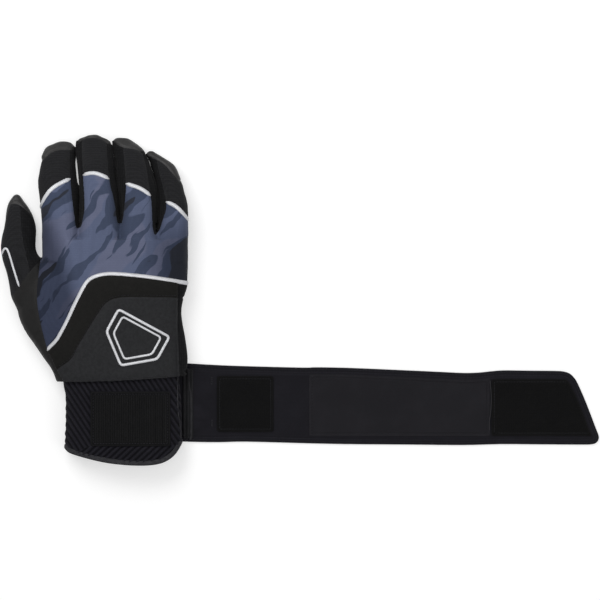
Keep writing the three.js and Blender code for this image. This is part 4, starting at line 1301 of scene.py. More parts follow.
def cuff_grid(rows, columns):
    """Points of the cuff's base form, from under the hand's edge down to the hem, row by row."""
    sizes = get_sizes()
    y = np.linspace(CUFF_ROWS[0][0], CUFF_ROWS[-1][0], 60)
    left, right, height = row_curves(CUFF_ROWS, y)
    top = sizes.cuff_depth * (0.97 + 0.1 * height)
    rings = [section(a * sizes.hand_width, b * sizes.hand_width, 0.3 * MM, c, columns)
             for a, b, c in zip(left, right, top)]
    table, y = np.stack(rings), y * sizes.glove_length
    seam = top_view(CUFF_SEAM)
    share = np.linspace(0, 1, rows)[:, None]
    guess = table[20, :, 0]
    x = np.broadcast_to(guess, (rows, columns))
    for _ in range(2):
        upper = np.interp(x, seam[:, 0], seam[:, 1]) + sizes.cuff_tuck
        at = upper * (1 - share) + hem_height(x) * share
        x, z = (np.stack([np.interp(at[:, j], y, table[:, j, k]) for j in range(columns)], axis=1)
                for k in (0, 1))
    return np.stack([x, at, z], axis=-1)


def rib_relief(x, y):
    """Slanting ribs: one way over most of the cuff and the other way along its hem."""
    sizes = get_sizes()
    down = 2 * np.pi * (0.84 * x + 0.55 * y) / sizes.rib_pitch
    up = 2 * np.pi * (-0.68 * x + 0.73 * y) / sizes.rib_pitch
    left, bottom = loop_patch_box()[0]
    edge = bottom + 0.42 * np.minimum(0, x - left)
    low = rise(y, edge + 0.5 * MM, edge - 0.5 * MM)
    wave = (1 - low) * np.cos(down) + low * np.cos(up)
    return np.sign(wave) * np.abs(wave) ** 0.7


def loop_patch_box():
    """The two corners of the loop patch on the cuff."""
    return np.array(LOOP_PATCH) * glove_scale()


class GLOVE_OT_cuff(bpy.types.Operator):
    """Builds the ribbed elastic cuff with its bound hem and the loop patch"""
    bl_idname = "glove.cuff"
    bl_label = "Cuff"

    def execute(self, context):
        sizes = context.scene.glove_sizes
        rows, columns = 130, 520
        grid = cuff_grid(rows, columns)
        co = grid.reshape(-1, 3)
        tri = grid_faces(rows, columns, True)
        middle = (co.max(axis=0) + co.min(axis=0)) / 2
        normal = vertex_normals(co, tri)
        if ((co - middle) * normal).sum() < 0:
            tri, normal = tri[:, ::-1].copy(), -normal
        CUFF["tree"] = BVHTree.FromPolygons(co.tolist(), tri.tolist())
        CUFF["hem"] = grid[-1]
        patch = box_distance(co, *loop_patch_box(), 2 * MM)
        down = np.repeat(np.arange(rows), columns) / rows
        calm = rise(patch, -0.5 * MM, 1.2 * MM) * rise(down, 0.99, 0.95)
        ribs = rib_relief(co[:, 0], co[:, 1]) * calm * rise(co[:, 2], 4 * MM, 12 * MM)
        facing = rise(np.abs(normal[:, 2]), 0.0, 0.45)
        push = sizes.rib_depth * ribs * (0.35 + 0.65 * facing)
        push += 0.35 * MM * facing * ripple(co, 16 * MM, 11, (2, 1, 1))
        push -= 0.4 * MM * (1 - rise(patch, 0, 3 * MM))
        co = co + normal * push[:, None]
        normal = vertex_normals(co, tri)
        on_back = co[tri].mean(axis=1)[:, 2] > sizes.seam_height
        for name, chosen, shown in (("cuff_back_rib", on_back, "cuff_back"),
                                    ("cuff_palm_rib", ~on_back, "cuff_palm_side")):
            points, faces, corner = thick(co, tri[chosen], normal, sizes.wall)
            piece = new_object(name, points, faces, "cuff", normals=corner)
            # The rib attribute drives the cuff's painted shade in the grooves between the ribs
            keep_value(piece, "rib", ribs[np.unique(tri[chosen])])
            keep_value(piece, "seam", np.full(len(points) // 2, 1.0))
            ride_on_hand(piece, "neoprene", shown)
        self.add_hem(sizes)
        self.add_loop_patch(sizes)
        return {"FINISHED"}

    def add_hem(self, sizes):
        """The narrow tape folded over the lower edge."""
        closed = np.vstack([CUFF["hem"], CUFF["hem"][:1]])
        step = 0.7 * MM
        line = resample(closed, step)[:-1]
        normals = np.array([CUFF["tree"].find_nearest(point)[1][:] for point in line])
        for _ in range(6):
            line = (np.roll(line, 1, 0) + line + np.roll(line, -1, 0)) / 3
            normals = unit(np.roll(normals, 1, 0) + normals + np.roll(normals, -1, 0))
        line = line + np.array([0, sizes.hem_width * 0.42, 0]) - normals * sizes.wall / 2
        wave = np.sin(2 * np.pi * (np.arange(len(line)) * step) / (3.1 * MM))
        height = sizes.hem_thickness * (1 + 0.05 * wave)
        co, tri = swept(line, normals, sizes.hem_width, height, 16, 0.7, True)
        ride_on_hand(new_object("hem_tape", co, tri, "binding"), "binding", "hem_binding")

    def add_loop_patch(self, sizes):
        """The ribbed loop tape on the back of the cuff."""
        low, high = loop_patch_box()
        patch = flat_patch(low, high, 0.42 * MM)
        patch.values["inside"] = -box_distance(patch.co, low, high, 1.2 * MM)
        patch.cut("inside", 0.05 * MM)
        tri = patch.tri[patch.at_faces("inside") > 0]
        co = dropped_on(CUFF["tree"], patch.co)
        edge = patch.values["inside"]
        ribs = np.cos(2 * np.pi * co[:, 0] / (1.5 * MM))
        inner = rise(edge, 2.2 * MM, 3 * MM)
        sewn = np.exp(-((edge - 1.7 * MM) / (0.5 * MM)) ** 2)
        lift = sizes.patch_thickness * np.sqrt(rise(edge, -0.4 * MM, 0.9 * MM)) - 0.25 * MM * sewn
        lift += inner * (0.14 * MM * ribs + 0.1 * MM * ripple(co, 2.2 * MM, 12, (1, 1.6, 1)))
        co[:, 2] += lift
        # The rib attribute drives painted shade: darker in the rib valleys and along the sewn line
        ribs = (ribs * inner - 1.2 * sewn)[np.unique(tri)]
        co, tri, corner = thick(co, tri, vertex_normals(co, tri), sizes.patch_thickness)
        piece = new_object("loop_tape_patch", co, tri, "loop", normals=corner)
        keep_value(piece, "rib", ribs)
        keep_value(piece, "seam", np.full(len(ribs), 1.0))
        ride_on_hand(piece, "loop", "loop_patch")


def box_distance(co, low, high, radius):
    """Signed distance in the top view from a rectangle with round corners: negative inside."""
    middle, half = (low + high) / 2, (high - low) / 2 - radius
    away = np.abs(co[:, :2] - middle) - half
    outside = np.hypot(*np.maximum(away, 0).T)
    return outside + np.minimum(away.max(axis=1), 0) - radius


def flat_patch(low, high, step):
    """A flat grid of triangles a little larger than the rectangle."""
    low, high = np.asarray(low) - 2 * step, np.asarray(high) + 2 * step
    columns, rows = (int(n) for n in np.ceil((high - low) / step) + 1)
    x, y = np.meshgrid(np.linspace(low[0], high[0], columns), np.linspace(low[1], high[1], rows))
    co = np.column_stack([x.ravel(), y.ravel(), np.zeros(x.size)])
    return Skin(co, grid_faces(rows, columns, False))


def dropped_on(tree, points):
    """The points moved straight down onto a surface, or to the rest face beside it."""
    out = points.copy()
    for i, (x, y, _) in enumerate(points):
        hit = tree.ray_cast((x, y, ABOVE), (0, 0, -1))[0]
        out[i, 2] = hit.z if hit is not None else 0
    return out


# Pipings and the ornament on the guard

def seam_path(skin, name, where, step):
    """The skin's points along the zero line of a value, in order, with their normals."""
    zero = (skin.values[name] == 0) & where
    edges = np.unique(np.sort(edges_of(skin.tri), axis=1), axis=0)
    edges = edges[zero[edges[:, 0]] & zero[edges[:, 1]]]
    neighbours = {}
    for a, b in edges.tolist():
        gap = float(np.linalg.norm(skin.co[a] - skin.co[b]))
        neighbours.setdefault(a, []).append((b, gap))
        neighbours.setdefault(b, []).append((a, gap))
    points = np.array(list(neighbours))
    co = skin.co[points]
    spread = co[:, :2] - co[:, :2].mean(axis=0)
    axis = np.linalg.svd(spread, full_matrices=False)[2][0]
    axis = axis if abs(axis[0]) < 1e-9 or axis[0] > 0 else -axis
    along, low = spread @ axis, 0.3 * co[:, 2]
    start, end = points[np.argmin(along + low)], points[np.argmax(along - low)]
    order = shortest_path(neighbours, int(start), int(end))
    line = np.hstack([skin.co[order], SKIN["normal"][order]])
    length = run_lengths(line[:, :3])
    both = at_lengths(line, length, np.linspace(0, length[-1], max(3, int(length[-1] / step))))
    for _ in range(5):
        both[1:-1] = (both[:-2] + both[1:-1] + both[2:]) / 3
    return both[:, :3], unit(both[:, 3:])


def shortest_path(neighbours, start, end):
    """The points from start to end along the shortest way over the edges."""
    reached = {start: 0.0}
    before = {}
    queue = [(0.0, start)]
    while queue:
        length, at = heapq.heappop(queue)
        if at == end:
            break
        if length > reached[at]:
            continue
        for other, gap in neighbours[at]:
            if length + gap < reached.get(other, 1e9):
                reached[other] = length + gap
                before[other] = at
                heapq.heappush(queue, (length + gap, other))
    order = [end]
    while order[-1] in before:
        order.append(before[order[-1]])
    return order[::-1]


def on_skin(line, step, tree=None):
    """A top-view line laid on the skin, with its normals."""
    tree = tree or SKIN["tree"]
    out, normals = [], []
    for x, y in resample(np.asarray(line)[:, :2], step):
        hit, normal = tree.ray_cast((x, y, ABOVE), (0, 0, -1))[:2]
        if hit is None or normal.z < 0.15:
            hit, normal = tree.find_nearest((x, y, 9 * MM))[:2]
        out.append(hit[:])
        normals.append(normal[:])
    out, normals = np.array(out), np.array(normals)
    for _ in range(3):
        out[1:-1] = (out[:-2] + out[1:-1] + out[2:]) / 3
        normals[1:-1] = normals[:-2] + normals[1:-1] + normals[2:]
        normals = unit(normals)
    return out, normals


class GLOVE_OT_piping(bpy.types.Operator):
    """Sews the silver piping to the guard, the knuckles and the thumb"""
    bl_idname = "glove.piping"
    bl_label = "Silver Piping"

    def execute(self, context):
        sizes = context.scene.glove_sizes
        skin, values = SKIN["skin"], SKIN["skin"].values
        hand = (values["thumb"] <= 0) & (values["back"] >= 0)
        step = 0.8 * MM
        lines = {"guard_piping": seam_path(skin, "guard", hand & (values["thumb_seam"] >= 0), step)}
        for name in FINGERS:
            zone = hand & (webbed(values) <= 0) & of_finger(values, name, 0)
            lines[f"{name}_knuckle_piping"] = seam_path(skin, f"piping_{name}", zone, step)
        lines["thumb_piping"] = on_skin(top_view(THUMB_PIPING), 0.6 * MM)
        for name, (line, normal) in lines.items():
            slim, wide = (0.72, 1.0) if name.startswith("thumb") else (1.0, 1.35)
            lift = 0.15 * MM * (4 if name.startswith("guard") else 1)
            to_end = np.minimum(np.arange(len(line)), np.arange(len(line))[::-1]) * step
            taper = 0.35 + 0.65 * rise(to_end, 0, 2.5 * MM)
            width = sizes.piping_width * slim * wide * taper
            co, tri = swept(line + normal * lift, normal, width, sizes.piping_height * slim * taper, 12)
            piece = new_object(f"{name}_cord", co, tri, "silver")
            bend_with(piece, name)
            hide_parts(name)
        return {"FINISHED"}


class GLOVE_OT_ornament(bpy.types.Operator):
    """Embroiders the ornament, two five-sided outlines, on the guard"""
    bl_idname = "glove.ornament"
    bl_label = "Ornament"

    def execute(self, context):
        sizes = context.scene.glove_sizes
        parts = []
        for outline, wide in zip(ornament_lines(1.8 * MM, 11 * MM), (1.0, 0.8)):
            line, normal = on_skin(outline, 0.22 * MM)
            line, normal = line[:-1], normal[:-1]
            wave = np.sin(2 * np.pi * np.arange(len(line)) * 0.22 / 0.66)
            width = sizes.embroidery_width * wide * (1 + 0.05 * wave)
            height = 1.1 * MM * (1 + 0.12 * wave)
            parts.append(swept(line + normal * 0.15 * MM, normal, width, height, 10, 0.85, True))
        ride_on_hand(new_object("guard_ornament", *joined(parts), "silver"), "silver", "crest")
        return {"FINISHED"}


def ornament_lines(*insets):
    """The ornament's five-sided outline on the guard, as closed lines of smaller and smaller size."""
    cos, sin = math.cos(ORNAMENT_TURN), math.sin(ORNAMENT_TURN)
    lines = []
    for inset in insets:
        corners = np.array(ORNAMENT_SHAPE) * (get_sizes().ornament_width - inset)
        corners = corners @ np.array([[cos, sin], [-sin, cos]]) + ORNAMENT_CENTRE * glove_scale()
        outline = round_corners(corners, 2.2 * MM)
        lines.append(np.vstack([outline, outline[:1]]))
    return lines


def round_corners(corners, radius):
    """A closed outline whose corners are arcs."""
    out = []
    t = np.linspace(0, 1, 8)[:, None]
    for before, corner, after in zip(np.roll(corners, 1, 0), corners, np.roll(corners, -1, 0)):
        back = (before - corner) / np.linalg.norm(before - corner)
        on = (after - corner) / np.linalg.norm(after - corner)
        start, end = corner + back * radius, corner + on * radius
        out.append((1 - t) ** 2 * start + 2 * t * (1 - t) * corner + t ** 2 * end)
    return np.vstack(out)


# Wrist strap

STRAP_OUTLINE = (
    # along from the seam, across from the middle
    (-0.03, -0.505), (0.009, -0.514), (0.08, -0.52), (0.15, -0.513), (0.3, -0.535), (0.4, -0.546),
    (0.55, -0.552), (0.67, -0.558), (0.76, -0.546), (0.86, -0.549), (0.95, -0.552), (0.978, -0.549),
    (0.9905, -0.528), (0.9965, -0.475), (0.9955, -0.42), (0.99, -0.34), (0.965, 0.02), (0.945, 0.27),
    (0.936, 0.345), (0.9265, 0.393), (0.912, 0.42), (0.89, 0.428), (0.83, 0.431), (0.77, 0.435),
    (0.74, 0.424), (0.706, 0.405), (0.67, 0.401), (0.61, 0.416), (0.54, 0.434), (0.4, 0.467), (0.32, 0.476),
    (0.28, 0.472), (0.13, 0.494), (0.06, 0.511), (0.009, 0.527), (-0.03, 0.53),
)
STRAP_PATCHES = {
    # from, to, low, high
    "near_hook": (0.0782, 0.2143, -0.381, 0.36),
    "panel": (0.3, 0.735, -0.44, 0.4),
    "end_hook": (0.7385, 0.985, -0.435, 0.32),
    "tab": (-0.003, 0.021, -0.47, 0.46),
}
END_PATCH_EDGE = ((0.735, 0.3), (0.7375, 0.1), (0.7365, -0.1), (0.733, -0.25), (0.7335, -0.36))
TAB_EDGE = ((0.497, -0.118), (0.503, -0.15), (0.51, -0.178), (0.5195, -0.2), (0.521, -0.3), (0.517, -0.333))
CUFF_FOLD = ((0.43, -0.13), (0.431, -0.21), (0.435, -0.25), (0.448, -0.29), (0.451, -0.33))
# Bar tacks: along, across and half their length
STRAP_TACKS = ((0.0655, 0.299, 0.04), (0.0665, -0.265, 0.035))
# How far from the strap's outline its stitched channel runs
STRAP_CHANNEL = 3.2 * MM
STRAP_STRETCHES = ("rise", "cross", "drop", "under", "end")
STRAP_STAND_INS = (
    # patch, stretch, fabric, slot, and the nodes of the source that it shows
    ("near_hook", 1, "hook", "hook", "near_hook_patch"),
    ("panel", 2, "strap_panel", "strap", "strap_panel_cross"),
    ("panel", 3, "strap_panel", "strap", "strap_panel_drop"),
    ("panel", 4, "strap_panel", "strap", "strap_panel_under"),
    ("end_hook", 4, "hook", "hook", "end_hook_patch_under", "end_hook_patch_end"),
    ("tab", 0, "knit", "black_knit", "strap_tab"),
)


def patch_box(name):
    """The two corners of a patch of the strap."""
    start, end, low, high = STRAP_PATCHES[name]
    return strap_place(((start, low), (end, high)))


def patch_height(name):
    """How far a patch stands over the strap."""
    return {"panel": 0.4, "tab": 1.3}.get(name, 1.0) * get_sizes().patch_thickness


def strap_folds():
    """How far along X each fold of the strap lies."""
    return np.array([joint["pos_m"][0] for joint in frame["joints"] if joint["name"].startswith("strap_")])


def strap_place(shares):
    """Points of the strap in metres, from their shares of the strap's length and width."""
    seam, end = strap_folds()[0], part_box("strap_end")[1].x
    middle = frame["joints"][-1]["pos_m"][1]
    return np.asarray(shares) * (end - seam, get_sizes().strap_width) + (seam, middle)


def strap_sections():
    """The two ends along the strap of each piece: from the middle of a stretch to the next."""
    folds = strap_folds()
    middles = (folds[1:] + folds[:-1]) / 2
    return list(zip((folds[0] - 5 * MM, *middles), (*middles, 1.0)))


def fold_with(thing):
    """Bakes a piece of the strap in place."""
    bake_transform(thing)


def strap_edge(co):
    """Distance from the strap's outline: positive inside."""
    return side(co, smooth_line(strap_place(STRAP_OUTLINE), 4))


def strap_top(co, edge):
    """Height of the strap's upper face: a thin hem, a stitched channel and the padded middle."""
    sizes = get_sizes()
    folds = strap_folds()
    hem = 0.7 * sizes.strap_thickness * np.sqrt(rise(edge, -0.6 * MM, 1 * MM))
    inside = 0.3 * sizes.strap_thickness * rise(edge, STRAP_CHANNEL, 6 * MM)
    channel = 0.35 * MM * np.exp(-((edge - STRAP_CHANNEL) / (0.6 * MM)) ** 2)
    soft = rise(edge, 2 * MM, 8 * MM) * (0.12 * MM * ripple(co, 24 * MM, 21, (2, 1, 1)))
    near = rise(co[:, 0], folds[0] + 26 * MM, folds[0])
    pulled = near * 0.3 * MM * ripple(co, 9 * MM, 22, (3, 1, 1))
    return hem + inside - channel + soft + pulled


def strap_layer(low, high, step):
    """A flat mesh of the strap between two places along it, cut to its outline."""
    reach = strap_place(((0, -0.6), (1, 0.6)))
    low = max(low, reach[0, 0] - 5 * MM)
    flat = flat_patch((low, reach[0, 1]), (min(high, reach[1, 0]), reach[1, 1]), step)
    x = flat.co[:, 0]
    flat.values = {"edge": strap_edge(flat.co), "from": x - low, "to": high - x}
    for name in flat.values:
        flat.cut(name, 0.04 * MM)
    return flat


def faces_inside(flat):
    """The triangles of a flat mesh that are inside all its values' zero lines."""
    return flat.tri[np.all([flat.at_faces(name) > 0 for name in flat.values], axis=0)]


def slab(name, flat, tri, top, bottom, fabric, seam):
    """A closed piece between two heights over a flat mesh."""
    upper, lower = flat.co.copy(), flat.co.copy()
    upper[:, 2], lower[:, 2] = top, bottom
    normal = vertex_normals(upper, tri)
    points, faces, corner = shell(upper, lower, tri, normal, np.tile((0, 0, -1.0), (len(upper), 1)))
    piece = new_object(name, points, faces, fabric, normals=corner)
    keep_value(piece, "seam", seam[np.unique(tri)])
    return piece


def add_cord_line(name, points, width, lift, tree=None):
    """A thin rounded edge laid along a top-view line on the strap or the cuff."""
    line = smooth_line(points, 8)
    if tree is None:
        line = on_strap(resample(line, 0.6 * MM), lift)
        normals = np.tile((0, 0, 1.0), (len(line), 1))
    else:
        line, normals = on_skin(line, 0.6 * MM, tree)
        line = line + normals * lift
    return new_object(name, *swept(line, normals, width, width, 10), "binding")


def on_strap(line, lift):
    """A top-view line laid on the strap, some way over its face."""
    line = raised(line, 0.0)
    return raised(line, strap_top(line, strap_edge(line)) + lift)


class GLOVE_OT_strap(bpy.types.Operator):
    """Builds the padded wrist strap with its inlaid panel, its tab and its hook patches"""
    bl_idname = "glove.strap"
    bl_label = "Wrist Strap"

    def execute(self, context):
        for i, (low, high) in enumerate(strap_sections()):
            flat = strap_layer(low, high, 0.55 * MM)
            tri, edge = faces_inside(flat), flat.values["edge"]
            stretch = f"strap_{STRAP_STRETCHES[i]}"
            bottom = 0.35 * MM * rise(edge, 1.4 * MM, 0)
            piece = slab(f"{stretch}_cloth", flat, tri, strap_top(flat.co, edge), bottom, "strap", edge)
            fold_with(piece)
            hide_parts(*(("strap_root",) if i == 0 else ()), stretch)
        for name, i, fabric, slot, *nodes in STRAP_STAND_INS:
            piece = self.patch(name, i, fabric)
            fold_with(piece)
            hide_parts(*nodes)
        self.add_edges()
        return {"FINISHED"}

    def add_edges(self):
        """The cord along the tab, the edge of the cuff's fold and the edge of the end patch."""
        scale = glove_scale()
        cord = add_cord_line("tab_edge_cord", TAB_EDGE * scale, 1.2 * MM, 0.9 * MM)
        fold_with(cord)
        fold = add_cord_line("cuff_fold_cord", CUFF_FOLD * scale, 0.8 * MM, 0.1 * MM, CUFF["tree"])
        ride_on_hand(fold, "binding")
        end = add_cord_line("end_patch_edge", strap_place(END_PATCH_EDGE), 0.6 * MM, 0.9 * MM)
        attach(end, "strap_under_part")

    def patch(self, name, i, fabric):
        """A patch sewn on the strap, from the flat mesh of one of the strap's pieces."""
        low, high = patch_box(name)
        start, end = strap_sections()[i]
        flat = strap_layer(max(start, low[0] - 3 * MM), min(end, high[0] + 3 * MM), 0.4 * MM)
        edge = -box_distance(flat.co, low, high, 1.5 * MM)
        if name in ("panel", "end_hook"):
            edge = np.minimum(edge, flat.values["edge"] - 4.6 * MM)
        flat.values["patch"] = edge
        flat.cut("patch", 0.04 * MM)
        tri, edge = faces_inside(flat), flat.values["patch"]
        base = strap_top(flat.co, flat.values["edge"])
        top = base + patch_height(name) * np.sqrt(rise(edge, -0.5 * MM, 0.9 * MM))
        top -= 0.3 * MM * np.exp(-((edge - 1.9 * MM) / (0.5 * MM)) ** 2)
        if name == "tab":
            across = (flat.co[:, 0] - low[0]) / (high[0] - low[0])
            top += 0.45 * MM * np.cos(across * 4 * np.pi) * rise(edge, 0.2 * MM, 1.2 * MM)
        return slab(f"strap_{name}_{i}", flat, tri, top, base - 0.3 * MM, fabric, edge)


# Stitches and hook tape, as repeats

def repeat_tree():
    """Geometry Nodes: a small capsule at even steps along curves, laid along them."""
    inputs = {"Curves": (GEOMETRY, None), "Pitch": (FLOAT, None), "Stitch Length": (FLOAT, None),
              "Thread": (FLOAT, None), "Tilt": (FLOAT, None), "Material": ("NodeSocketMaterial", None)}
    tree, given, out = new_group("Stitch row", inputs, {"Geometry": GEOMETRY}, "GeometryNodeTree")

    def add(kind, values, **settings):
        """A geometry node's outputs."""
        return node(tree, f"GeometryNode{kind}", values, **settings).outputs

    points = add("CurveToPoints", {"Curve": given["Curves"], "Length": given["Pitch"]}, mode="LENGTH")
    ball = add("MeshUVSphere", {"Segments": 6, "Rings": 5, "Radius": 1.0})
    half = {axis: times(tree, given[key], 0.5)
            for axis, key in (("X", "Thread"), ("Y", "Thread"), ("Z", "Stitch Length"))}
    size = node(tree, "ShaderNodeCombineXYZ", half).outputs[0]
    turn = node(tree, "ShaderNodeCombineXYZ", {"X": given["Tilt"]}).outputs[0]
    tilted = {"Rotation": points["Rotation"], "Rotate By": turn}
    tilted = node(tree, "FunctionNodeRotateRotation", tilted, rotation_space="LOCAL").outputs[0]
    placed_at = {"Points": points["Points"], "Instance": ball["Mesh"], "Rotation": tilted, "Scale": size}
    shape = add("InstanceOnPoints", placed_at)[0]
    shape = add("RealizeInstances", {0: shape})[0]
    shape = add("SetShadeSmooth", {0: shape})[0]
    shape = add("SetMaterial", {"Geometry": shape, "Material": given["Material"]})[0]
    tree.links.new(shape, out[0])
    return tree


def stitched(name, lines, pitch, stitch, thread, fabric="thread", tilt=0.0):
    """One mesh of stitches along several lines."""
    if "Stitch row" not in GROUPS:
        GROUPS["Stitch row"] = repeat_tree()
    tree = GROUPS["Stitch row"]
    curve = bpy.data.curves.new(f"{name}_line", "CURVE")
    curve.dimensions = "3D"
    for line in lines:
        spline = curve.splines.new("POLY")
        spline.points.add(len(line) - 1)
        places = np.column_stack([line, np.ones(len(line))]).astype(np.float32)
        spline.points.foreach_set("co", places.ravel())
    guide = placed(f"{name}_line", curve)
    modifier = guide.modifiers.new("Stitches", "NODES")
    modifier.node_group = tree
    values = {"Pitch": pitch, "Stitch Length": stitch, "Thread": thread, "Tilt": tilt,
              "Material": MATERIALS[fabric]}
    for socket in tree.interface.items_tree:
        if socket.in_out == "INPUT" and socket.name in values:
            modifier[socket.identifier] = values[socket.name]
    mesh = bpy.data.meshes.new_from_object(guide.evaluated_get(bpy.context.evaluated_depsgraph_get()))
    bpy.data.objects.remove(guide)
    bpy.data.curves.remove(curve)
    return placed(name, mesh)


def rectangle(low, high, inset):
    """A closed line with round corners inside a rectangle in the top view."""
    low, high = np.asarray(low) + inset, np.asarray(high) - inset
    corners = np.array([low, (high[0], low[1]), high, (low[0], high[1])])
    line = round_corners(corners, 1.2 * MM)
    return resample(np.vstack([line, line[:1]]), 0.6 * MM)


def raised(line, height):
    """A top-view line at the given heights."""
    return np.column_stack([line[:, :2], np.broadcast_to(height, len(line))])


def inside_runs(line, chosen):
    """The stretches of a line where it is chosen."""
    edges = np.flatnonzero(np.diff(np.concatenate([[0], chosen.astype(int), [0]])))
    return [line[a:b] for a, b in edges.reshape(-1, 2) if b - a > 3]


class GLOVE_OT_hooks(bpy.types.Operator):
    """Fills the hook patches and the loop patch with their bristles"""
    bl_idname = "glove.hooks"
    bl_label = "Hook and Loop"

    def execute(self, context):
        sizes = context.scene.glove_sizes
        pitch = sizes.hook_pitch
        for name, i in (("near_hook", 1), ("end_hook", 4)):
            rows = []
            for line in parallel_rows(*patch_box(name), 3 * MM, pitch):
                rows += inside_runs(on_strap(line, sizes.patch_thickness), strap_edge(line) > 7 * MM)
            piece = stitched(f"{name}_bristles", rows, pitch, 0.95 * MM, 0.3 * MM, "hook", 1.1)
            fold_with(piece)
        rows = [dropped_on(CUFF["tree"], line) + (0, 0, sizes.patch_thickness)
                for line in parallel_rows(*loop_patch_box(), 3.2 * MM, pitch * 0.75)]
        ride_on_hand(stitched("loop_patch_pile", rows, 0.9 * MM, 0.85 * MM, 0.34 * MM, "hook", 0.5), "loop")
        return {"FINISHED"}


def parallel_rows(low, high, inset, pitch):
    """Straight lines up a rectangle, each a little off the last so that their stitches don't line up."""
    random = np.random.default_rng(31)
    rows = []
    for x in np.arange(low[0] + inset, high[0] - inset, pitch):
        start = low[1] + inset + random.uniform(0, pitch)
        y = np.arange(start, high[1] - inset, 1.5 * MM)
        rows.append(np.column_stack([x + random.normal(0, 0.06 * MM, len(y)), y, np.zeros(len(y))]))
    return rows


class GLOVE_OT_stitching(bpy.types.Operator):
    """Sews the stitch rows of the guard, the cuff and the strap"""
    bl_idname = "glove.stitching"
    bl_label = "Stitching"

    def execute(self, context):
        self.sew_hand(context.scene.glove_sizes)
        self.sew_strap()
        return {"FINISHED"}

    def sew_hand(self, sizes):
        """Rows beside the guard's inner seam, round its ornament and round the loop patch."""
        rows = []
        for seam, start, offset in (
                (GUARD_INNER, -0.37, -1.3), (GUARD_INNER, -0.37, 1.2), (CUFF_SEAM, -0.4, 1.6)):
            line = top_view(seam)
            share = line[:, 0] / sizes.hand_width
            line = line[(share > start) & (share < 0.43)] + (0, offset * MM)
            rows.append(on_skin(line, 0.6 * MM)[0])
        ride_on_hand(stitched("guard_stitches", rows, 2.1 * MM, 1.6 * MM, 0.34 * MM), "guard_black")
        ring = raised(rectangle(*loop_patch_box(), 1.7 * MM), 0.0)
        ring = dropped_on(CUFF["tree"], ring) + (0, 0, 0.82 * sizes.patch_thickness)
        ride_on_hand(stitched("loop_patch_stitches", [ring], 1.9 * MM, 1.45 * MM, 0.4 * MM), "loop")
        rows = [on_skin(line, 0.6 * MM)[0] for line in ornament_lines(-2.6 * MM)]
        ride_on_hand(stitched("ornament_stitches", rows, 1.6 * MM, 1.3 * MM, 0.36 * MM), "emblem_grey")

    def sew_strap(self):
        """Two rows round the strap, a row round each patch, and the bar tacks."""
        outline = smooth_line(strap_place(STRAP_OUTLINE), 6)
        ends = [[] for _ in STRAP_STRETCHES]
        for rows, (start, end) in zip(ends, strap_sections()):
            for inset in (STRAP_CHANNEL, 1.5 * MM):
                line = raised(resample(shrunk(outline, inset), 0.5 * MM), 0.0)
                depth = strap_top(line, np.full(len(line), inset))
                line = raised(line, depth + 0.02 * MM)
                rows += inside_runs(line, (line[:, 0] > start) & (line[:, 0] < end))
        for name, i, *_ in STRAP_STAND_INS:
            if name != "tab":
                ends[i] += self.patch_rows(name, *strap_sections()[i])
        for i, rows in enumerate(ends):
            piece = stitched(f"strap_{STRAP_STRETCHES[i]}_stitches", rows, 1.9 * MM, 1.4 * MM, 0.34 * MM)
            fold_with(piece)
        rows = []
        for along, across, half in STRAP_TACKS:
            line = resample(strap_place(((along, across - half), (along, across + half))), 0.2 * MM)
            rows += [on_strap(line + (beside, 0), 0.06 * MM) for beside in (-0.4 * MM, 0, 0.4 * MM)]
        fold_with(stitched("strap_bar_tacks", rows, 1.1 * MM, 1.05 * MM, 0.42 * MM))

    def patch_rows(self, name, start, end):
        """The stitch row round a patch, where it is between two places along the strap."""
        line = on_strap(rectangle(*patch_box(name), 1.9 * MM), patch_height(name) - 0.24 * MM)
        keep = (line[:, 0] > start) & (line[:, 0] < end) & (strap_edge(line) > 5.6 * MM)
        return inside_runs(line, keep)


def shrunk(outline, inset):
    """An open outline moved inwards, on the left of its direction, without its folded-over points."""
    along = unit(np.gradient(outline, axis=0))
    moved = outline + np.column_stack([-along[:, 1], along[:, 0]]) * inset
    return moved[side(moved, outline) > 0.93 * inset]


# Stage

# Metres to a pixel, the pixel in the middle and the one at the origin, and the width in pixels
PHOTO_SCALE = 0.67 * MM
PHOTO_CENTRE = (300, 300)
PHOTO_ORIGIN = (115, 330)
PHOTO_SIZE = 600
CAMERA_HEIGHT = 3.0
FLOOR_SIZE = 4.0
FLOOR_DROP = 0.1 * MM
LIGHTS = (
    # name, place from the middle of the picture, size and power
    ("key", (-0.45, 0.55, 0.75), (0.7, 0.5), 5.5),
    ("fill", (0.6, -0.35, 0.7), (0.8, 0.6), 2.0),
    ("top", (0, 0, 1.1), (0.9, 0.9), 1.5),
)


def seen_directly(tree):
    """1 for what the camera sees straight, through glass or in a mirror, and 0 for light on the glove."""
    path = tree.nodes.new("ShaderNodeLightPath").outputs
    mirrored = math_node(tree, "MAXIMUM", path["Is Glossy Ray"], path["Is Transmission Ray"])
    return math_node(tree, "MAXIMUM", path["Is Camera Ray"], mirrored)


def stage_material():
    """White paper that the camera sees a little lighter than the lamps make it, more so far from them."""
    made, tree, shader, place = new_material("stage_paper", 0.9, 0.1)
    shader["Base Color"].default_value = (0.6, 0.6, 0.6, 1)
    shader["Emission Color"].default_value = (1, 1, 1, 1)
    away = node(tree, "ShaderNodeVectorMath", {0: place}, operation="LENGTH").outputs["Value"]
    glow = times(tree, ramp(tree, away, 0.4, 1.4), 0.35, 0.47)
    tree.links.new(times(tree, seen_directly(tree), glow), shader["Emission Strength"])
    return made


def add_light(name, place, target, size, power):
    """A soft square lamp that faces the target."""
    light = bpy.data.lights.new(name, "AREA")
    light.shape = "RECTANGLE"
    light.size, light.size_y = size
    light.energy = power
    thing = placed(name, light)
    thing.location = place
    thing.rotation_mode = "QUATERNION"
    thing.rotation_quaternion = (Vector(target) - Vector(place)).to_track_quat("-Z", "Y")


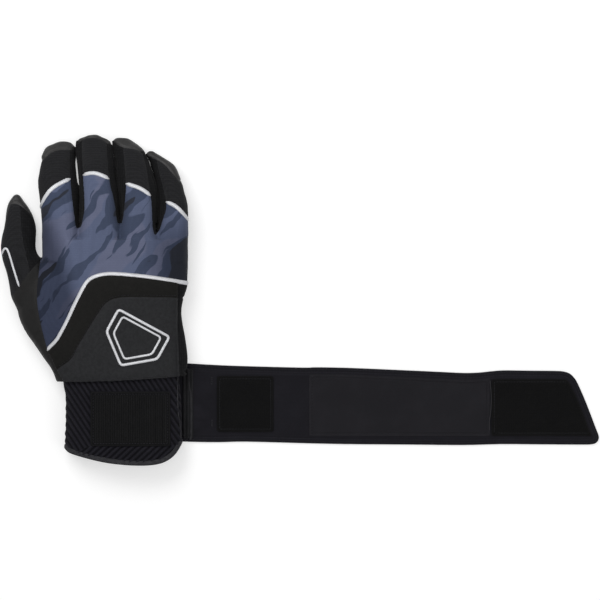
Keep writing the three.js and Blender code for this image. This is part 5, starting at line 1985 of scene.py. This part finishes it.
class GLOVE_OT_stage(bpy.types.Operator):
    """Adds the pale floor, the soft lights and the camera over the glove"""
    bl_idname = "glove.stage"
    bl_label = "Stage"

    def execute(self, context):
        scene = context.scene
        x = (PHOTO_CENTRE[0] - PHOTO_ORIGIN[0]) * PHOTO_SCALE
        y = (PHOTO_ORIGIN[1] - PHOTO_CENTRE[1]) * PHOTO_SCALE
        corners = np.array([(-1, -1, 0), (1, -1, 0), (1, 1, 0), (-1, 1, 0)]) * FLOOR_SIZE / 2
        MATERIALS["paper"] = stage_material()
        faces = np.array([[0, 1, 2], [0, 2, 3]])
        new_object("floor", corners + (x, y, -FLOOR_DROP), faces, "paper", False)
        world = bpy.data.worlds.new("studio")
        world.use_nodes = True
        tree = world.node_tree
        background = tree.nodes["Background"].inputs
        background["Color"].default_value = (1, 1, 1, 1)
        glow = times(tree, seen_directly(tree), 0.58, 0.42)
        tree.links.new(glow, background["Strength"])
        scene.world = world
        for name, place, size, power in LIGHTS:
            add_light(name, (x + place[0], y + place[1], place[2]), (x, y, 0), size, power)
        camera = bpy.data.cameras.new("camera")
        camera.sensor_width = 36
        camera.lens = camera.sensor_width * CAMERA_HEIGHT / (PHOTO_SIZE * PHOTO_SCALE)
        camera.clip_end = 20
        scene.camera = placed("camera", camera)
        scene.camera.location = (x, y, CAMERA_HEIGHT)
        scene.view_settings.view_transform = "Standard"
        return {"FINISHED"}


class GLOVE_PT_panel(bpy.types.Panel):
    """Lists the glove's operators"""
    bl_label = "Batting Glove"
    bl_idname = "GLOVE_PT_panel"
    bl_space_type = "VIEW_3D"
    bl_region_type = "UI"
    bl_category = "Glove"

    def draw(self, context):
        for operator in OPERATORS:
            self.layout.operator(operator.bl_idname)


OPERATORS = (GLOVE_OT_skin, GLOVE_OT_cuff, GLOVE_OT_piping, GLOVE_OT_ornament, GLOVE_OT_strap,
             GLOVE_OT_stitching, GLOVE_OT_hooks, GLOVE_OT_stage)
CLASSES = (GloveSizes, GloveColours, *OPERATORS, GLOVE_PT_panel)


def register():
    """Adds the glove's classes and settings."""
    for cls in CLASSES:
        bpy.utils.register_class(cls)
    bpy.types.Scene.glove_sizes = PointerProperty(type=GloveSizes)
    bpy.types.Scene.glove_colours = PointerProperty(type=GloveColours)


def unregister():
    """Removes the glove's classes and settings."""
    del bpy.types.Scene.glove_colours
    del bpy.types.Scene.glove_sizes
    for cls in reversed(CLASSES):
        bpy.utils.unregister_class(cls)


def main():
    """Builds the glove and its stage."""
    register()
    make_materials(bpy.context.scene.glove_colours)
    bpy.ops.glove.skin()
    bpy.ops.glove.cuff()
    bpy.ops.glove.piping()
    bpy.ops.glove.ornament()
    bpy.ops.glove.strap()
    bpy.ops.glove.stitching()
    bpy.ops.glove.hooks()
    bpy.ops.glove.stage()


if __name__ == "__main__":
    main()
